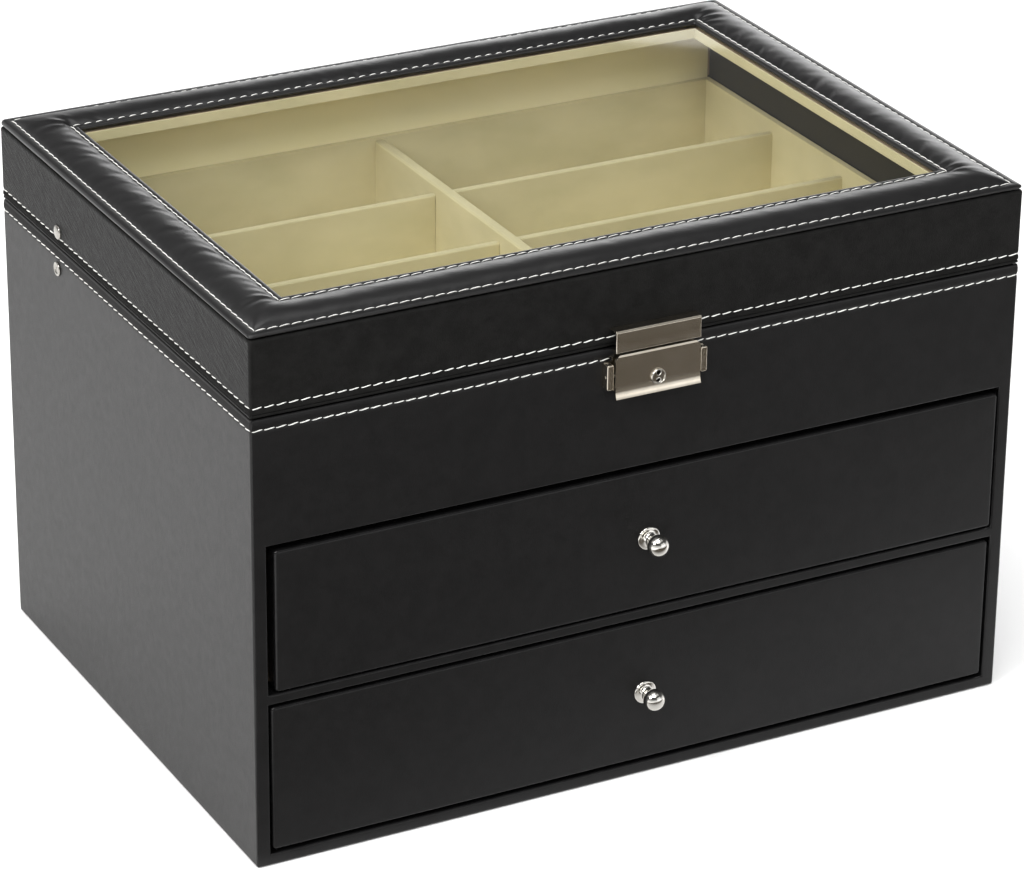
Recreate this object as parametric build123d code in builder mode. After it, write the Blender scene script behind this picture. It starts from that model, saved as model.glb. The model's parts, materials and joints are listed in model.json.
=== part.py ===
from build123d import *
import math
import os

os.makedirs("parts", exist_ok=True)

# ---------------------------------------------------------------- dimensions
# All in millimetres. Origin: middle of the underside. +X right, +Y back, +Z up.
W = 335.0            # overall width
D = 243.0            # overall depth of the case
HX, HY = W / 2, D / 2
SKIN = 0.8           # leatherette thickness
TURN = 0.6           # leatherette where it is turned round an edge
WALL = 5.4           # whole wall thickness of case and lid

# case levels
Z_FELT = 0.5
Z_LOW_OPEN = 5.1     # floor of the lower drawer opening
Z_SHELF_LO, Z_SHELF_HI = 69.5, 73.7
Z_RAIL_LO = 136.2    # underside of the front rail
Z_CASE_TOP = 188.65
Z_SEAM = 189.15      # hinge axis height, middle of the lid gap
Z_LID_BOT = 189.65
TRAY_FLOOR_LO, TRAY_FLOOR_HI = 137.0, 140.0
TRAY_VELVET_HI = 141.0
LINER_OUT, LINER_IN, LINER_TOP = 5.7, 8.4, 190.0
CENTRE_DIV_T, CENTRE_DIV_TOP = 4.8, 189.0
CROSS_DIV_T, CROSS_DIV_TOP = 3.0, 184.8
CROSS_Y = (-57.3, 0.0, 57.3)

# lid levels
Z_WALL_TOP = 219.6   # top of the lid wall boards
LID_TURNED = 3.6     # how far the lid leather is turned over the wall
SLAB_LO, SLAB_HI = 217.4, 221.3
SLAB_OUT, SLAB_IN = 4.8, 24.1
GLASS_INSET, GLASS_HI = 19.5, 222.8
WINDOW_INSET = 24.7
PAD_OUT, PAD_TOP = 0.3, 226.3

# lock
LX = 0.95            # lock centre in X
LOCK_W, LOCK_BASE_W = 37.0, 43.7
FLAP_PY, FLAP_PZ = -124.4, 178.3
KEY_Z, KEY_R = 175.4, 3.15

# lid stay, in the Y-Z plane on the left inside wall
P_Y, P_Z = 63.5, 179.6       # pivot on the case
Q_Y, Q_Z = 62.0, 195.9       # pivot on the lid
LID_MAX = 95.0
ARM_W, ARM_T = 6.6, 1.0
LOW_X0, UP_X0 = -158.8, -157.4


def turned(y, z, deg):
    """Point (y, z) after the lid opens by deg about its hinge axis."""
    a, b, t = y - HY, z - Z_SEAM, math.radians(deg)
    return (HY + a * math.cos(t) + b * math.sin(t), Z_SEAM - a * math.sin(t) + b * math.cos(t))


Q_OPEN = turned(Q_Y, Q_Z, LID_MAX)
REACH = math.dist((P_Y, P_Z), Q_OPEN)
ARM = REACH / 2 + 0.02       # both arms equal, straight when the lid is open
BASE = math.dist((P_Y, P_Z), (Q_Y, Q_Z))
BASE_DIR = math.atan2(Q_Z - P_Z, Q_Y - P_Y)
ELBOW_DIR = BASE_DIR + math.acos(BASE / 2 / ARM)
E_Y, E_Z = P_Y + ARM * math.cos(ELBOW_DIR), P_Z + ARM * math.sin(ELBOW_DIR)
LOW_OPEN = math.atan2(Q_OPEN[1] - P_Z, Q_OPEN[0] - P_Y)
LOW_TURN = math.degrees(LOW_OPEN - ELBOW_DIR)
UP_REST = math.atan2(E_Z - Q_Z, E_Y - Q_Y)
UP_OPEN = math.atan2(P_Z - Q_OPEN[1], P_Y - Q_OPEN[0])
UP_TURN = (math.degrees(UP_OPEN - UP_REST) + LID_MAX) % 360.0
print("elbow at rest", round(E_Y, 3), round(E_Z, 3), "arm", round(ARM, 3))
print("lower arm turns", round(LOW_TURN, 4), "upper arm turns in the lid", round(UP_TURN, 4))

# drawers: (x low, x high, z low, z high) of the visible front, and centre of the box
UPPER = (-158.6, 161.3, 74.3, 133.7)
LOWER = (-160.7, 160.7, 6.5, 68.1)
FRONT_T = 9.2        # leatherette and board of a drawer front
BOX_HALF = 158.9
BOX_T, BOX_BACK = 5.0, 109.0
BOX_H = 52.0
KNOB_PROUD = 8.0     # ball centre in front of the drawer face
KNOB_X, KNOB_Z = 1.2, {"upper": 104.4, "lower": 36.6}


def save(builder, name):
    builder.part.label = name
    export_step(builder.part, "parts/" + name + ".step")


# ---------------------------------------------------------------- case boards
with BuildPart() as left_side_board:
    with BuildSketch(Plane.XY.offset(Z_FELT)):
        with Locations((-HX + (SKIN + WALL) / 2, 0)):
            Rectangle(WALL - SKIN, D - 2 * SKIN)
    extrude(amount=Z_CASE_TOP - TURN - Z_FELT)
    with BuildSketch(Plane.YZ.offset(-HX)):
        with Locations((P_Y, P_Z)):
            Circle(1.5)
    extrude(amount=WALL + 1, mode=Mode.SUBTRACT)
save(left_side_board, "left_side_board")

with BuildPart() as right_side_board:
    with BuildSketch(Plane.XY.offset(Z_FELT)):
        with Locations((HX - (SKIN + WALL) / 2, 0)):
            Rectangle(WALL - SKIN, D - 2 * SKIN)
    extrude(amount=Z_CASE_TOP - TURN - Z_FELT)
save(right_side_board, "right_side_board")

with BuildPart() as back_board:
    with BuildSketch(Plane.XY.offset(Z_FELT)):
        with Locations((0, HY - (SKIN + WALL) / 2)):
            Rectangle(W - 2 * WALL, WALL - SKIN)
    extrude(amount=Z_CASE_TOP - TURN - Z_FELT)
save(back_board, "back_board")

with BuildPart() as front_rail_board:
    with BuildSketch(Plane.XY.offset(Z_RAIL_LO + TURN)):
        with Locations((0, -HY + (SKIN + WALL) / 2)):
            Rectangle(W - 2 * WALL, WALL - SKIN)
    extrude(amount=Z_CASE_TOP - TURN - Z_RAIL_LO - TURN)
save(front_rail_board, "front_rail_board")

with BuildPart() as bottom_board:
    with BuildSketch(Plane.XY.offset(Z_FELT)):
        with Locations((0, (SKIN - WALL) / 2)):
            Rectangle(W - 2 * WALL, D - SKIN - WALL)
    extrude(amount=Z_LOW_OPEN - TURN - Z_FELT)
save(bottom_board, "bottom_board")

with BuildPart() as drawer_shelf_board:
    with BuildSketch(Plane.XY.offset(Z_SHELF_LO + TURN)):
        with Locations((0, (SKIN - WALL) / 2)):
            Rectangle(W - 2 * WALL, D - SKIN - WALL)
    extrude(amount=Z_SHELF_HI - Z_SHELF_LO - 2 * TURN)
save(drawer_shelf_board, "drawer_shelf_board")

with BuildPart() as tray_floor_board:
    with BuildSketch(Plane.XY.offset(TRAY_FLOOR_LO)):
        Rectangle(W - 2 * WALL, D - 2 * WALL)
    extrude(amount=TRAY_FLOOR_HI - TRAY_FLOOR_LO)
save(tray_floor_board, "tray_floor_board")

# ---------------------------------------------------------------- case skins
# Each side skin covers the board and turns in over its top edge.
with BuildPart() as left_side_leather:
    with BuildSketch(Plane.XZ.offset(HY - SKIN)):
        with BuildLine():
            Polyline((-HX, Z_FELT), (-HX, Z_CASE_TOP), (-HX + WALL, Z_CASE_TOP),
                     (-HX + WALL, Z_CASE_TOP - TURN), (-HX + SKIN, Z_CASE_TOP - TURN),
                     (-HX + SKIN, Z_FELT), close=True)
        make_face()
    extrude(amount=-(D - 2 * SKIN))
    with BuildSketch(Plane.YZ.offset(-HX - 1)):
        with Locations((P_Y, P_Z)):
            Circle(1.5)
    extrude(amount=3, mode=Mode.SUBTRACT)
    top_edge = left_side_leather.edges().filter_by(Axis.Y).sort_by(Axis.Z)[-2:].sort_by(Axis.X)[0]
    fillet(top_edge, 0.55)
save(left_side_leather, "left_side_leather")

with BuildPart() as right_side_leather:
    with BuildSketch(Plane.XZ.offset(HY - SKIN)):
        with BuildLine():
            Polyline((HX, Z_FELT), (HX, Z_CASE_TOP), (HX - WALL, Z_CASE_TOP),
                     (HX - WALL, Z_CASE_TOP - TURN), (HX - SKIN, Z_CASE_TOP - TURN),
                     (HX - SKIN, Z_FELT), close=True)
        make_face()
    extrude(amount=-(D - 2 * SKIN))
    top_edge = right_side_leather.edges().filter_by(Axis.Y).sort_by(Axis.Z)[-2:].sort_by(Axis.X)[-1]
    fillet(top_edge, 0.55)
save(right_side_leather, "right_side_leather")

with BuildPart() as back_leather:
    with BuildSketch(Plane.XY.offset(Z_FELT)):
        with Locations((0, HY - SKIN / 2)):
            Rectangle(W, SKIN)
    extrude(amount=Z_CASE_TOP - Z_FELT)
    with BuildSketch(Plane.XY.offset(Z_CASE_TOP - TURN)):
        with Locations((0, HY - SKIN - (WALL - SKIN) / 2)):
            Rectangle(W - 2 * WALL, WALL - SKIN)
    extrude(amount=TURN)
    fillet(back_leather.edges().filter_by(Axis.Z).sort_by(Axis.Y)[-2:], 0.7)
save(back_leather, "back_leather")

# The front skin covers the whole front frame, with the two drawer openings cut
# through, and is turned in on the rail, the shelf and the bottom board.
with BuildPart() as front_leather:
    with BuildSketch(Plane.XZ.offset(HY - SKIN)):
        with Locations((0, (Z_FELT + Z_CASE_TOP) / 2)):
            Rectangle(W, Z_CASE_TOP - Z_FELT)
        with Locations((0, (Z_LOW_OPEN + Z_SHELF_LO) / 2)):
            Rectangle(W - 2 * WALL, Z_SHELF_LO - Z_LOW_OPEN, mode=Mode.SUBTRACT)
        with Locations((0, (Z_SHELF_HI + Z_RAIL_LO) / 2)):
            Rectangle(W - 2 * WALL, Z_RAIL_LO - Z_SHELF_HI, mode=Mode.SUBTRACT)
    extrude(amount=SKIN)
    for z_lo, depth in ((Z_LOW_OPEN - TURN, 12.0), (Z_SHELF_LO, 12.0),
                        (Z_SHELF_HI - TURN, 12.0), (Z_RAIL_LO, WALL - SKIN),
                        (Z_CASE_TOP - TURN, WALL - SKIN)):
        with BuildSketch(Plane.XY.offset(z_lo)):
            with Locations((0, -HY + SKIN + depth / 2)):
                Rectangle(W - 2 * WALL, depth)
        extrude(amount=TURN)
    fillet(front_leather.edges().filter_by(Axis.Z).sort_by(Axis.Y)[:6].sort_by(Axis.X)[:1], 0.7)
    fillet(front_leather.edges().filter_by(Axis.Z).sort_by(Axis.X)[-1:], 0.7)
save(front_leather, "front_leather")

with BuildPart() as base_felt:
    with BuildSketch():
        RectangleRounded(W - 8, D - 8, 3)
    extrude(amount=Z_FELT)
save(base_felt, "base_felt")

# ---------------------------------------------------------------- tray
with BuildPart() as tray_floor_velvet:
    with BuildSketch(Plane.XY.offset(TRAY_FLOOR_HI)):
        Rectangle(W - 2 * LINER_OUT, D - 2 * LINER_OUT)
    extrude(amount=TRAY_VELVET_HI - TRAY_FLOOR_HI)
save(tray_floor_velvet, "tray_floor_velvet")

with BuildPart() as tray_liner:
    t = LINER_IN - LINER_OUT
    mid = (LINER_IN + LINER_OUT) / 2
    with BuildSketch(Plane.XY.offset(TRAY_VELVET_HI)):
        with Locations((0, HY - mid), (0, -HY + mid)):
            Rectangle(W - 2 * LINER_IN - 0.2, t)
        with Locations((HX - mid, 0), (-HX + mid, 0)):
            Rectangle(t, D - 2 * LINER_OUT)
    extrude(amount=LINER_TOP - TRAY_VELVET_HI)
    with BuildSketch(Plane.YZ.offset(-HX)):
        with Locations((P_Y, P_Z)):
            Circle(1.5)
    extrude(amount=LINER_IN + 1, mode=Mode.SUBTRACT)
save(tray_liner, "tray_liner")

LAP_Z = (TRAY_VELVET_HI + CROSS_DIV_TOP) / 2
LAP_GAP = 0.1
with BuildPart() as tray_centre_divider:
    with BuildSketch(Plane.XY.offset(TRAY_VELVET_HI)):
        Rectangle(CENTRE_DIV_T, D - 2 * LINER_IN)
    extrude(amount=CENTRE_DIV_TOP - TRAY_VELVET_HI)
    fillet(tray_centre_divider.edges().filter_by(Axis.Y).sort_by(Axis.Z)[-2:], 1.2)
    with BuildSketch(Plane.XY.offset(TRAY_VELVET_HI)):
        with Locations(*[(0, y) for y in CROSS_Y]):
            Rectangle(CENTRE_DIV_T + 2, CROSS_DIV_T + 2 * LAP_GAP)
    extrude(amount=LAP_Z - TRAY_VELVET_HI, mode=Mode.SUBTRACT)
save(tray_centre_divider, "tray_centre_divider")


def cross_divider(name, y, notched):
    """Full-width cross divider, lapped over the centre divider; the rear one
    is cut back at its left end, where the folded lid stay lies."""
    with BuildPart() as piece:
        with BuildSketch(Plane.XY.offset(TRAY_VELVET_HI)):
            with Locations((0, y)):
                Rectangle(W - 2 * LINER_IN, CROSS_DIV_T)
        extrude(amount=CROSS_DIV_TOP - TRAY_VELVET_HI)
        fillet(piece.edges().filter_by(Axis.X).sort_by(Axis.Z)[-2:], 0.9)
        with BuildSketch(Plane.XY.offset(LAP_Z)):
            with Locations((0, y)):
                Rectangle(CENTRE_DIV_T + 2 * LAP_GAP, CROSS_DIV_T + 2)
        extrude(amount=CROSS_DIV_TOP, mode=Mode.SUBTRACT)
        if notched:
            with BuildSketch(Plane.XY.offset(173.5)):
                with Locations((-HX + LINER_IN + 2.4, y)):
                    Rectangle(4.8, CROSS_DIV_T + 2)
            extrude(amount=30, mode=Mode.SUBTRACT)
    save(piece, name)
    return piece


cross_divider("tray_cross_divider_front", CROSS_Y[0], False)
cross_divider("tray_cross_divider_middle", CROSS_Y[1], False)
cross_divider("tray_cross_divider_rear", CROSS_Y[2], True)

# ---------------------------------------------------------------- hinge cloth
with BuildPart() as hinge_cloth_lower:
    with BuildSketch(Plane.XY.offset(165.0)):
        with Locations((0, HY - WALL - 0.15)):
            Rectangle(W - 2 * WALL - 1.0, 0.28)
    extrude(amount=Z_CASE_TOP - TURN - 165.0)
save(hinge_cloth_lower, "hinge_cloth_lower")

with BuildPart() as hinge_cloth_upper:
    with BuildSketch(Plane.XY.offset(Z_LID_BOT + TURN)):
        with Locations((0, HY - WALL + 0.3)):
            Rectangle(W - 2 * WALL, 0.6)
    extrude(amount=SLAB_LO - TURN - Z_LID_BOT - TURN)
save(hinge_cloth_upper, "hinge_cloth_upper")

# ---------------------------------------------------------------- lid boards
LID_BOARD_Z = Z_LID_BOT + TURN
LID_T = WALL - SKIN - 0.6
LID_MID = SKIN + LID_T / 2


with BuildPart() as lid_left_board:
    with BuildSketch(Plane.XY.offset(LID_BOARD_Z)):
        with Locations((-HX + LID_MID, 0)):
            Rectangle(LID_T, D - 2 * SKIN)
    extrude(amount=Z_WALL_TOP - LID_BOARD_Z)
    with BuildSketch(Plane.YZ.offset(-HX - 1)):
        with Locations((Q_Y, Q_Z)):
            Circle(1.5)
    extrude(amount=WALL + 2, mode=Mode.SUBTRACT)
save(lid_left_board, "lid_left_board")

with BuildPart() as lid_right_board:
    with BuildSketch(Plane.XY.offset(LID_BOARD_Z)):
        with Locations((HX - LID_MID, 0)):
            Rectangle(LID_T, D - 2 * SKIN)
    extrude(amount=Z_WALL_TOP - LID_BOARD_Z)
save(lid_right_board, "lid_right_board")

with BuildPart() as lid_front_board:
    with BuildSketch(Plane.XY.offset(LID_BOARD_Z)):
        with Locations((0, -HY + LID_MID)):
            Rectangle(W - 2 * (SKIN + LID_T), LID_T)
    extrude(amount=Z_WALL_TOP - LID_BOARD_Z)
save(lid_front_board, "lid_front_board")

with BuildPart() as lid_back_board:
    with BuildSketch(Plane.XY.offset(LID_BOARD_Z)):
        with Locations((0, HY - LID_MID)):
            Rectangle(W - 2 * (SKIN + LID_T), LID_T)
    extrude(amount=Z_WALL_TOP - LID_BOARD_Z)
save(lid_back_board, "lid_back_board")

# Top frame board round the window: two long rails and two short ones.
with BuildPart() as lid_top_frame:
    rail = SLAB_IN - SLAB_OUT
    with BuildSketch(Plane.XY.offset(SLAB_LO)):
        with Locations((0, HY - SLAB_OUT - rail / 2), (0, -HY + SLAB_OUT + rail / 2)):
            Rectangle(W - 2 * SLAB_OUT, rail)
        with Locations((HX - SLAB_OUT - rail / 2, 0), (-HX + SLAB_OUT + rail / 2, 0)):
            Rectangle(rail, D - 2 * SLAB_IN - 0.2)
    extrude(amount=SLAB_HI - SLAB_LO)
save(lid_top_frame, "lid_top_frame")

# ---------------------------------------------------------------- lid skins
with BuildPart() as lid_leather:
    # long panels, front and back, turned in under and over the wall
    for sign in (-1, 1):
        with BuildSketch(Plane.YZ.offset(-HX + SKIN + 0.05)):
            with BuildLine():
                Polyline((sign * HY, Z_LID_BOT), (sign * HY, Z_WALL_TOP + TURN),
                         (sign * (HY - LID_TURNED), Z_WALL_TOP + TURN), (sign * (HY - LID_TURNED), Z_WALL_TOP),
                         (sign * (HY - SKIN), Z_WALL_TOP), (sign * (HY - SKIN), LID_BOARD_Z),
                         (sign * (HY - WALL), LID_BOARD_Z), (sign * (HY - WALL), Z_LID_BOT), close=True)
            make_face()
        extrude(amount=W - 2 * SKIN - 0.1)
    # side panels
    for sign in (-1, 1):
        with BuildSketch(Plane.XZ.offset(HY)):
            with BuildLine():
                Polyline((sign * HX, Z_LID_BOT), (sign * HX, Z_WALL_TOP + TURN),
                         (sign * (HX - SKIN), Z_WALL_TOP + TURN), (sign * (HX - SKIN), Z_LID_BOT), close=True)
            make_face()
        extrude(amount=-D)
    with BuildSketch(Plane.YZ.offset(-HX - 1)):
        with Locations((Q_Y, Q_Z)):
            Circle(1.5)
    extrude(amount=WALL + 2, mode=Mode.SUBTRACT)
save(lid_leather, "lid_leather")

with BuildPart() as lid_lining:
    low, high = LID_BOARD_Z, SLAB_LO - TURN
    with BuildSketch(Plane.XY.offset(low)):
        with Locations((HX - WALL + 0.3, 0), (-HX + WALL - 0.3, 0)):
            Rectangle(0.6, D - 2 * WALL - 0.2)
        with Locations((0, -HY + WALL - 0.3)):
            Rectangle(W - 2 * WALL, 0.6)
    extrude(amount=high - low)
    with BuildSketch(Plane.YZ.offset(-HX - 1)):
        with Locations((Q_Y, Q_Z)):
            Circle(1.5)
    extrude(amount=WALL + 2, mode=Mode.SUBTRACT)
save(lid_lining, "lid_lining")

# Cream trim: under the top frame and round its window edge.
with BuildPart() as window_trim:
    for sign in (-1, 1):
        with BuildSketch(Plane.YZ.offset(-HX + WALL)):
            with BuildLine():
                Polyline((sign * (HY - WALL), SLAB_LO - TURN), (sign * (HY - WALL), SLAB_LO),
                         (sign * (HY - SLAB_IN), SLAB_LO), (sign * (HY - SLAB_IN), SLAB_HI),
                         (sign * (HY - WINDOW_INSET), SLAB_HI), (sign * (HY - WINDOW_INSET), SLAB_LO - TURN),
                         close=True)
            make_face()
        extrude(amount=W - 2 * WALL)
    for sign in (-1, 1):
        with BuildSketch(Plane.XZ.offset(HY - WINDOW_INSET - 0.1)):
            with BuildLine():
                Polyline((sign * (HX - WALL), SLAB_LO - TURN), (sign * (HX - WALL), SLAB_LO),
                         (sign * (HX - SLAB_IN), SLAB_LO), (sign * (HX - SLAB_IN), SLAB_HI),
                         (sign * (HX - WINDOW_INSET), SLAB_HI), (sign * (HX - WINDOW_INSET), SLAB_LO - TURN),
                         close=True)
            make_face()
        extrude(amount=-(D - 2 * WINDOW_INSET - 0.2))
    # the long strips end at the window on their upright part
    with BuildSketch(Plane.XY.offset(SLAB_LO)):
        with Locations((HX - WINDOW_INSET / 2, 0), (-HX + WINDOW_INSET / 2, 0)):
            Rectangle(WINDOW_INSET - 1.2, D)
    extrude(amount=SLAB_HI, mode=Mode.SUBTRACT)
save(window_trim, "window_trim")

with BuildPart() as glass_pane:
    with BuildSketch(Plane.XY.offset(SLAB_HI)):
        RectangleRounded(W - 2 * GLASS_INSET, D - 2 * GLASS_INSET, 1.5)
    extrude(amount=GLASS_HI - SLAB_HI)
save(glass_pane, "glass_pane")


# Padded leatherette frame: four crowned strips, mitred at the corners.
# Section of a strip as (inset from the outer face, height): a straight-sided
# lower part with a rebate for the glass, a flat seam edge outside the stitches,
# and a crowned top.
PAD_LOWER = [(4.0, 222.7), (PAD_OUT, 222.0), (PAD_OUT, SLAB_HI),
             (GLASS_INSET, SLAB_HI), (GLASS_INSET, GLASS_HI), (WINDOW_INSET, GLASS_HI),
             (WINDOW_INSET, 223.9)]
PAD_CROWN = [(WINDOW_INSET, 223.9), (22.0, 224.6), (13.0, PAD_TOP), (5.8, 224.4), (4.0, 222.7)]
MITRE = -0.07        # each strip stops this far short of the mitre
with BuildPart() as padded_frame:
    for sign in (-1, 1):
        with BuildSketch(Plane.YZ.offset(-HX)):
            with BuildLine():
                Polyline(*[(sign * (HY - i), z) for i, z in PAD_LOWER])
                Spline(*[(sign * (HY - i), z) for i, z in PAD_CROWN])
            make_face()
        extrude(amount=W)
    # cut the long strips back to their mitres
    for sx in (-1, 1):
        with BuildSketch(Plane.XY.offset(210)):
            with BuildLine():
                Polyline((sx * HX, -HY + MITRE), (sx * (HX - 60), -HY + 60 + MITRE), (sx * (HX - 60), HY - 60 - MITRE),
                         (sx * HX, HY - MITRE), (sx * (HX + 5), HY - MITRE), (sx * (HX + 5), -HY + MITRE), close=True)
            make_face()
        extrude(amount=30, mode=Mode.SUBTRACT)

with BuildPart() as side_strips:
    for sign in (-1, 1):
        with BuildSketch(Plane.XZ.offset(HY)):
            with BuildLine():
                Polyline(*[(sign * (HX - i), z) for i, z in PAD_LOWER])
                Spline(*[(sign * (HX - i), z) for i, z in PAD_CROWN])
            make_face()
        extrude(amount=-D)
    for sy in (-1, 1):
        with BuildSketch(Plane.XY.offset(210)):
            with BuildLine():
                Polyline((-HX + MITRE, sy * HY), (-HX + 60 + MITRE, sy * (HY - 60)), (HX - 60 - MITRE, sy * (HY - 60)),
                         (HX - MITRE, sy * HY), (HX - MITRE, sy * (HY + 5)), (-HX + MITRE, sy * (HY + 5)), close=True)
            make_face()
        extrude(amount=30, mode=Mode.SUBTRACT)

with padded_frame:
    add(side_strips.part)
save(padded_frame, "padded_frame")

# ---------------------------------------------------------------- lock
with BuildPart() as lock_base_plate:
    with BuildSketch(Plane.XZ.offset(HY)):
        with Locations((LX, 178.5)):
            RectangleRounded(LOCK_W - 1.0, 15.0, 1.5)
        with Locations((LX, 178.25)):
            RectangleRounded(LOCK_BASE_W, 10.5, 0.8)
    extrude(amount=SKIN)
    # two cheeks that carry the flap
    with BuildSketch(Plane.XZ.offset(HY + SKIN)):
        with Locations((LX + 20.4, 178.25), (LX - 20.4, 178.25)):
            RectangleRounded(2.9, 10.5, 0.8)
    extrude(amount=3.6)
    fillet(lock_base_plate.faces().sort_by(Axis.Y)[0:2].edges(), 0.5)
    with BuildSketch(Plane.YZ.offset(LX - 30)):
        with Locations((FLAP_PY, FLAP_PZ)):
            Circle(0.6)
    extrude(amount=60, mode=Mode.SUBTRACT)
    with BuildSketch(Plane.XZ.offset(HY)):
        with Locations((LX - 12, 183.3), (LX + 12, 183.3), (LX - 12, 173.6), (LX + 12, 173.6)):
            Circle(0.9)
    extrude(amount=SKIN + 1, mode=Mode.SUBTRACT)
save(lock_base_plate, "lock_base_plate")

with BuildPart() as lock_screws:
    with BuildSketch(Plane.XZ.offset(HY - 4.2)):
        with Locations((LX - 12, 183.3), (LX + 12, 183.3), (LX - 12, 173.6), (LX + 12, 173.6)):
            Circle(0.9)
    extrude(amount=4.2 + SKIN)
    with BuildSketch(Plane.XZ.offset(HY + SKIN)):
        with Locations((LX - 12, 183.3), (LX + 12, 183.3), (LX - 12, 173.6), (LX + 12, 173.6)):
            Circle(1.6)
    extrude(amount=0.35)
save(lock_screws, "lock_screws")

with BuildPart() as lock_hinge_pins:
    with BuildSketch(Plane.YZ.offset(LX + 16.6)):
        with Locations((FLAP_PY, FLAP_PZ)):
            Circle(0.6)
    extrude(amount=5.0)
    with BuildSketch(Plane.YZ.offset(LX - 21.6)):
        with Locations((FLAP_PY, FLAP_PZ)):
            Circle(0.6)
    extrude(amount=5.0)
save(lock_hinge_pins, "lock_hinge_pins")

with BuildPart() as lock_spring:
    # thin leaf, fixed flat on the base plate and rising towards its lower end
    with BuildSketch(Plane.YZ.offset(LX - 9.6)):
        with BuildLine():
            Polyline((-HY - SKIN, 180.2), (-HY - SKIN, 176.0), (-HY - 1.75, 171.6),
                     (-HY - 2.05, 171.6), (-HY - SKIN - 0.3, 176.1), (-HY - SKIN - 0.3, 180.2), close=True)
        make_face()
    extrude(amount=5.0)
save(lock_spring, "lock_spring")

with BuildPart() as lock_flap:
    # pressed sheet: flat face, top chamfered, bottom lip flared outwards
    with BuildSketch(Plane.YZ.offset(LX - LOCK_W / 2)):
        with BuildLine():
            Polyline((-125.4, 187.0), (-126.0, 187.0), (-126.35, 186.3), (-126.35, 172.0), (-127.3, 169.3),
                     (-126.5, 169.1), (-125.4, 171.6), close=True)
        make_face()
    extrude(amount=LOCK_W)
    with BuildSketch(Plane.XZ.offset(HY)):
        with Locations((LX - LOCK_W / 2, 187.0), (LX + LOCK_W / 2, 187.0)):
            Rectangle(2.4, 2.4, rotation=45)
    extrude(amount=8, mode=Mode.SUBTRACT)
    # two side lugs on the hinge pins
    with BuildSketch(Plane.YZ.offset(LX - LOCK_W / 2)):
        with Locations((-124.4, FLAP_PZ)):
            Rectangle(2.4, 5.4)
    extrude(amount=0.9)
    with BuildSketch(Plane.YZ.offset(LX + LOCK_W / 2 - 0.9)):
        with Locations((-124.4, FLAP_PZ)):
            Rectangle(2.4, 5.4)
    extrude(amount=0.9)
    # hook bar behind the face, above the key cylinder
    with BuildSketch(Plane.XZ.offset(-125.4 * -1 - 1.0)):
        with Locations((LX, 184.6)):
            Rectangle(5.0, 1.6)
    extrude(amount=1.0)
    with BuildSketch(Plane.YZ.offset(LX - 30)):
        with Locations((FLAP_PY, FLAP_PZ)):
            Circle(0.65)
    extrude(amount=60, mode=Mode.SUBTRACT)
    with BuildSketch(Plane.XZ.offset(HY)):
        with Locations((LX, KEY_Z)):
            Circle(KEY_R + 0.05)
    extrude(amount=8, mode=Mode.SUBTRACT)
save(lock_flap, "lock_flap")

with BuildPart() as key_cylinder:
    with BuildSketch(Plane.XZ.offset(123.9)):
        with Locations((LX, KEY_Z)):
            Circle(KEY_R)
    extrude(amount=3.1)
    fillet(key_cylinder.edges().filter_by(GeomType.CIRCLE).sort_by(Axis.Y)[0], 0.35)
    # cam on the back of the cylinder
    with BuildSketch(Plane.XZ.offset(123.3)):
        with Locations((LX, KEY_Z)):
            SlotOverall(6.0, 2.2, rotation=90)
    extrude(amount=0.6)
    # two-lobed key slot
    with BuildSketch(Plane.XZ.offset(125.4)):
        with Locations((LX, KEY_Z + 0.95), (LX, KEY_Z - 0.95)):
            Circle(0.8)
        with Locations((LX, KEY_Z)):
            Rectangle(0.7, 2.0)
    extrude(amount=3, mode=Mode.SUBTRACT)
save(key_cylinder, "key_cylinder")

with BuildPart() as lock_catch_plate:
    # pressed cap on the lid: face sheet with a top and a bottom flange, open at both ends
    with BuildSketch(Plane.YZ.offset(LX - LOCK_W / 2)):
        with BuildLine():
            Polyline((-HY, 196.4), (-HY, 197.2), (-126.0, 197.2), (-126.6, 196.5), (-126.6, 188.2),
                     (-122.6, 188.2), (-122.6, 189.0), (-125.8, 189.0), (-125.8, 196.4), close=True)
        make_face()
    extrude(amount=LOCK_W)
    # the bottom flange leaves room for the tongue in the middle
    with BuildSketch(Plane.XY.offset(188.0)):
        with Locations((LX, -124.0)):
            Rectangle(15.0, 3.6)
    extrude(amount=1.2, mode=Mode.SUBTRACT)
    # fixing plate against the lid, narrower than the face
    with BuildSketch(Plane.XZ.offset(HY)):
        with Locations((LX, 192.55)):
            Rectangle(26.0, 8.5)
    extrude(amount=0.8)
    # tongue that hangs behind the flap, with its catch hole
    with BuildSketch(Plane.XZ.offset(123.1)):
        with Locations((LX, 189.7)):
            Rectangle(12.0, 13.4)
        with Locations((LX, 184.8)):
            Rectangle(6.4, 2.4, mode=Mode.SUBTRACT)
    extrude(amount=0.8)
save(lock_catch_plate, "lock_catch_plate")

# ---------------------------------------------------------------- lid stay
with BuildPart() as stay_case_rivet:
    with BuildSketch(Plane.YZ.offset(-HX)):
        with Locations((P_Y, P_Z)):
            Circle(1.5)
    extrude(amount=UP_X0 - 0.2 + HX)
    with BuildSketch(Plane.YZ.offset(-HX - 0.7)):
        with Locations((P_Y, P_Z)):
            Circle(3.0)
    extrude(amount=0.7)
    with BuildSketch(Plane.YZ.offset(LOW_X0 + ARM_T + 0.1)):
        with Locations((P_Y, P_Z)):
            Circle(2.6)
    extrude(amount=0.45)
save(stay_case_rivet, "stay_case_rivet")

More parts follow.
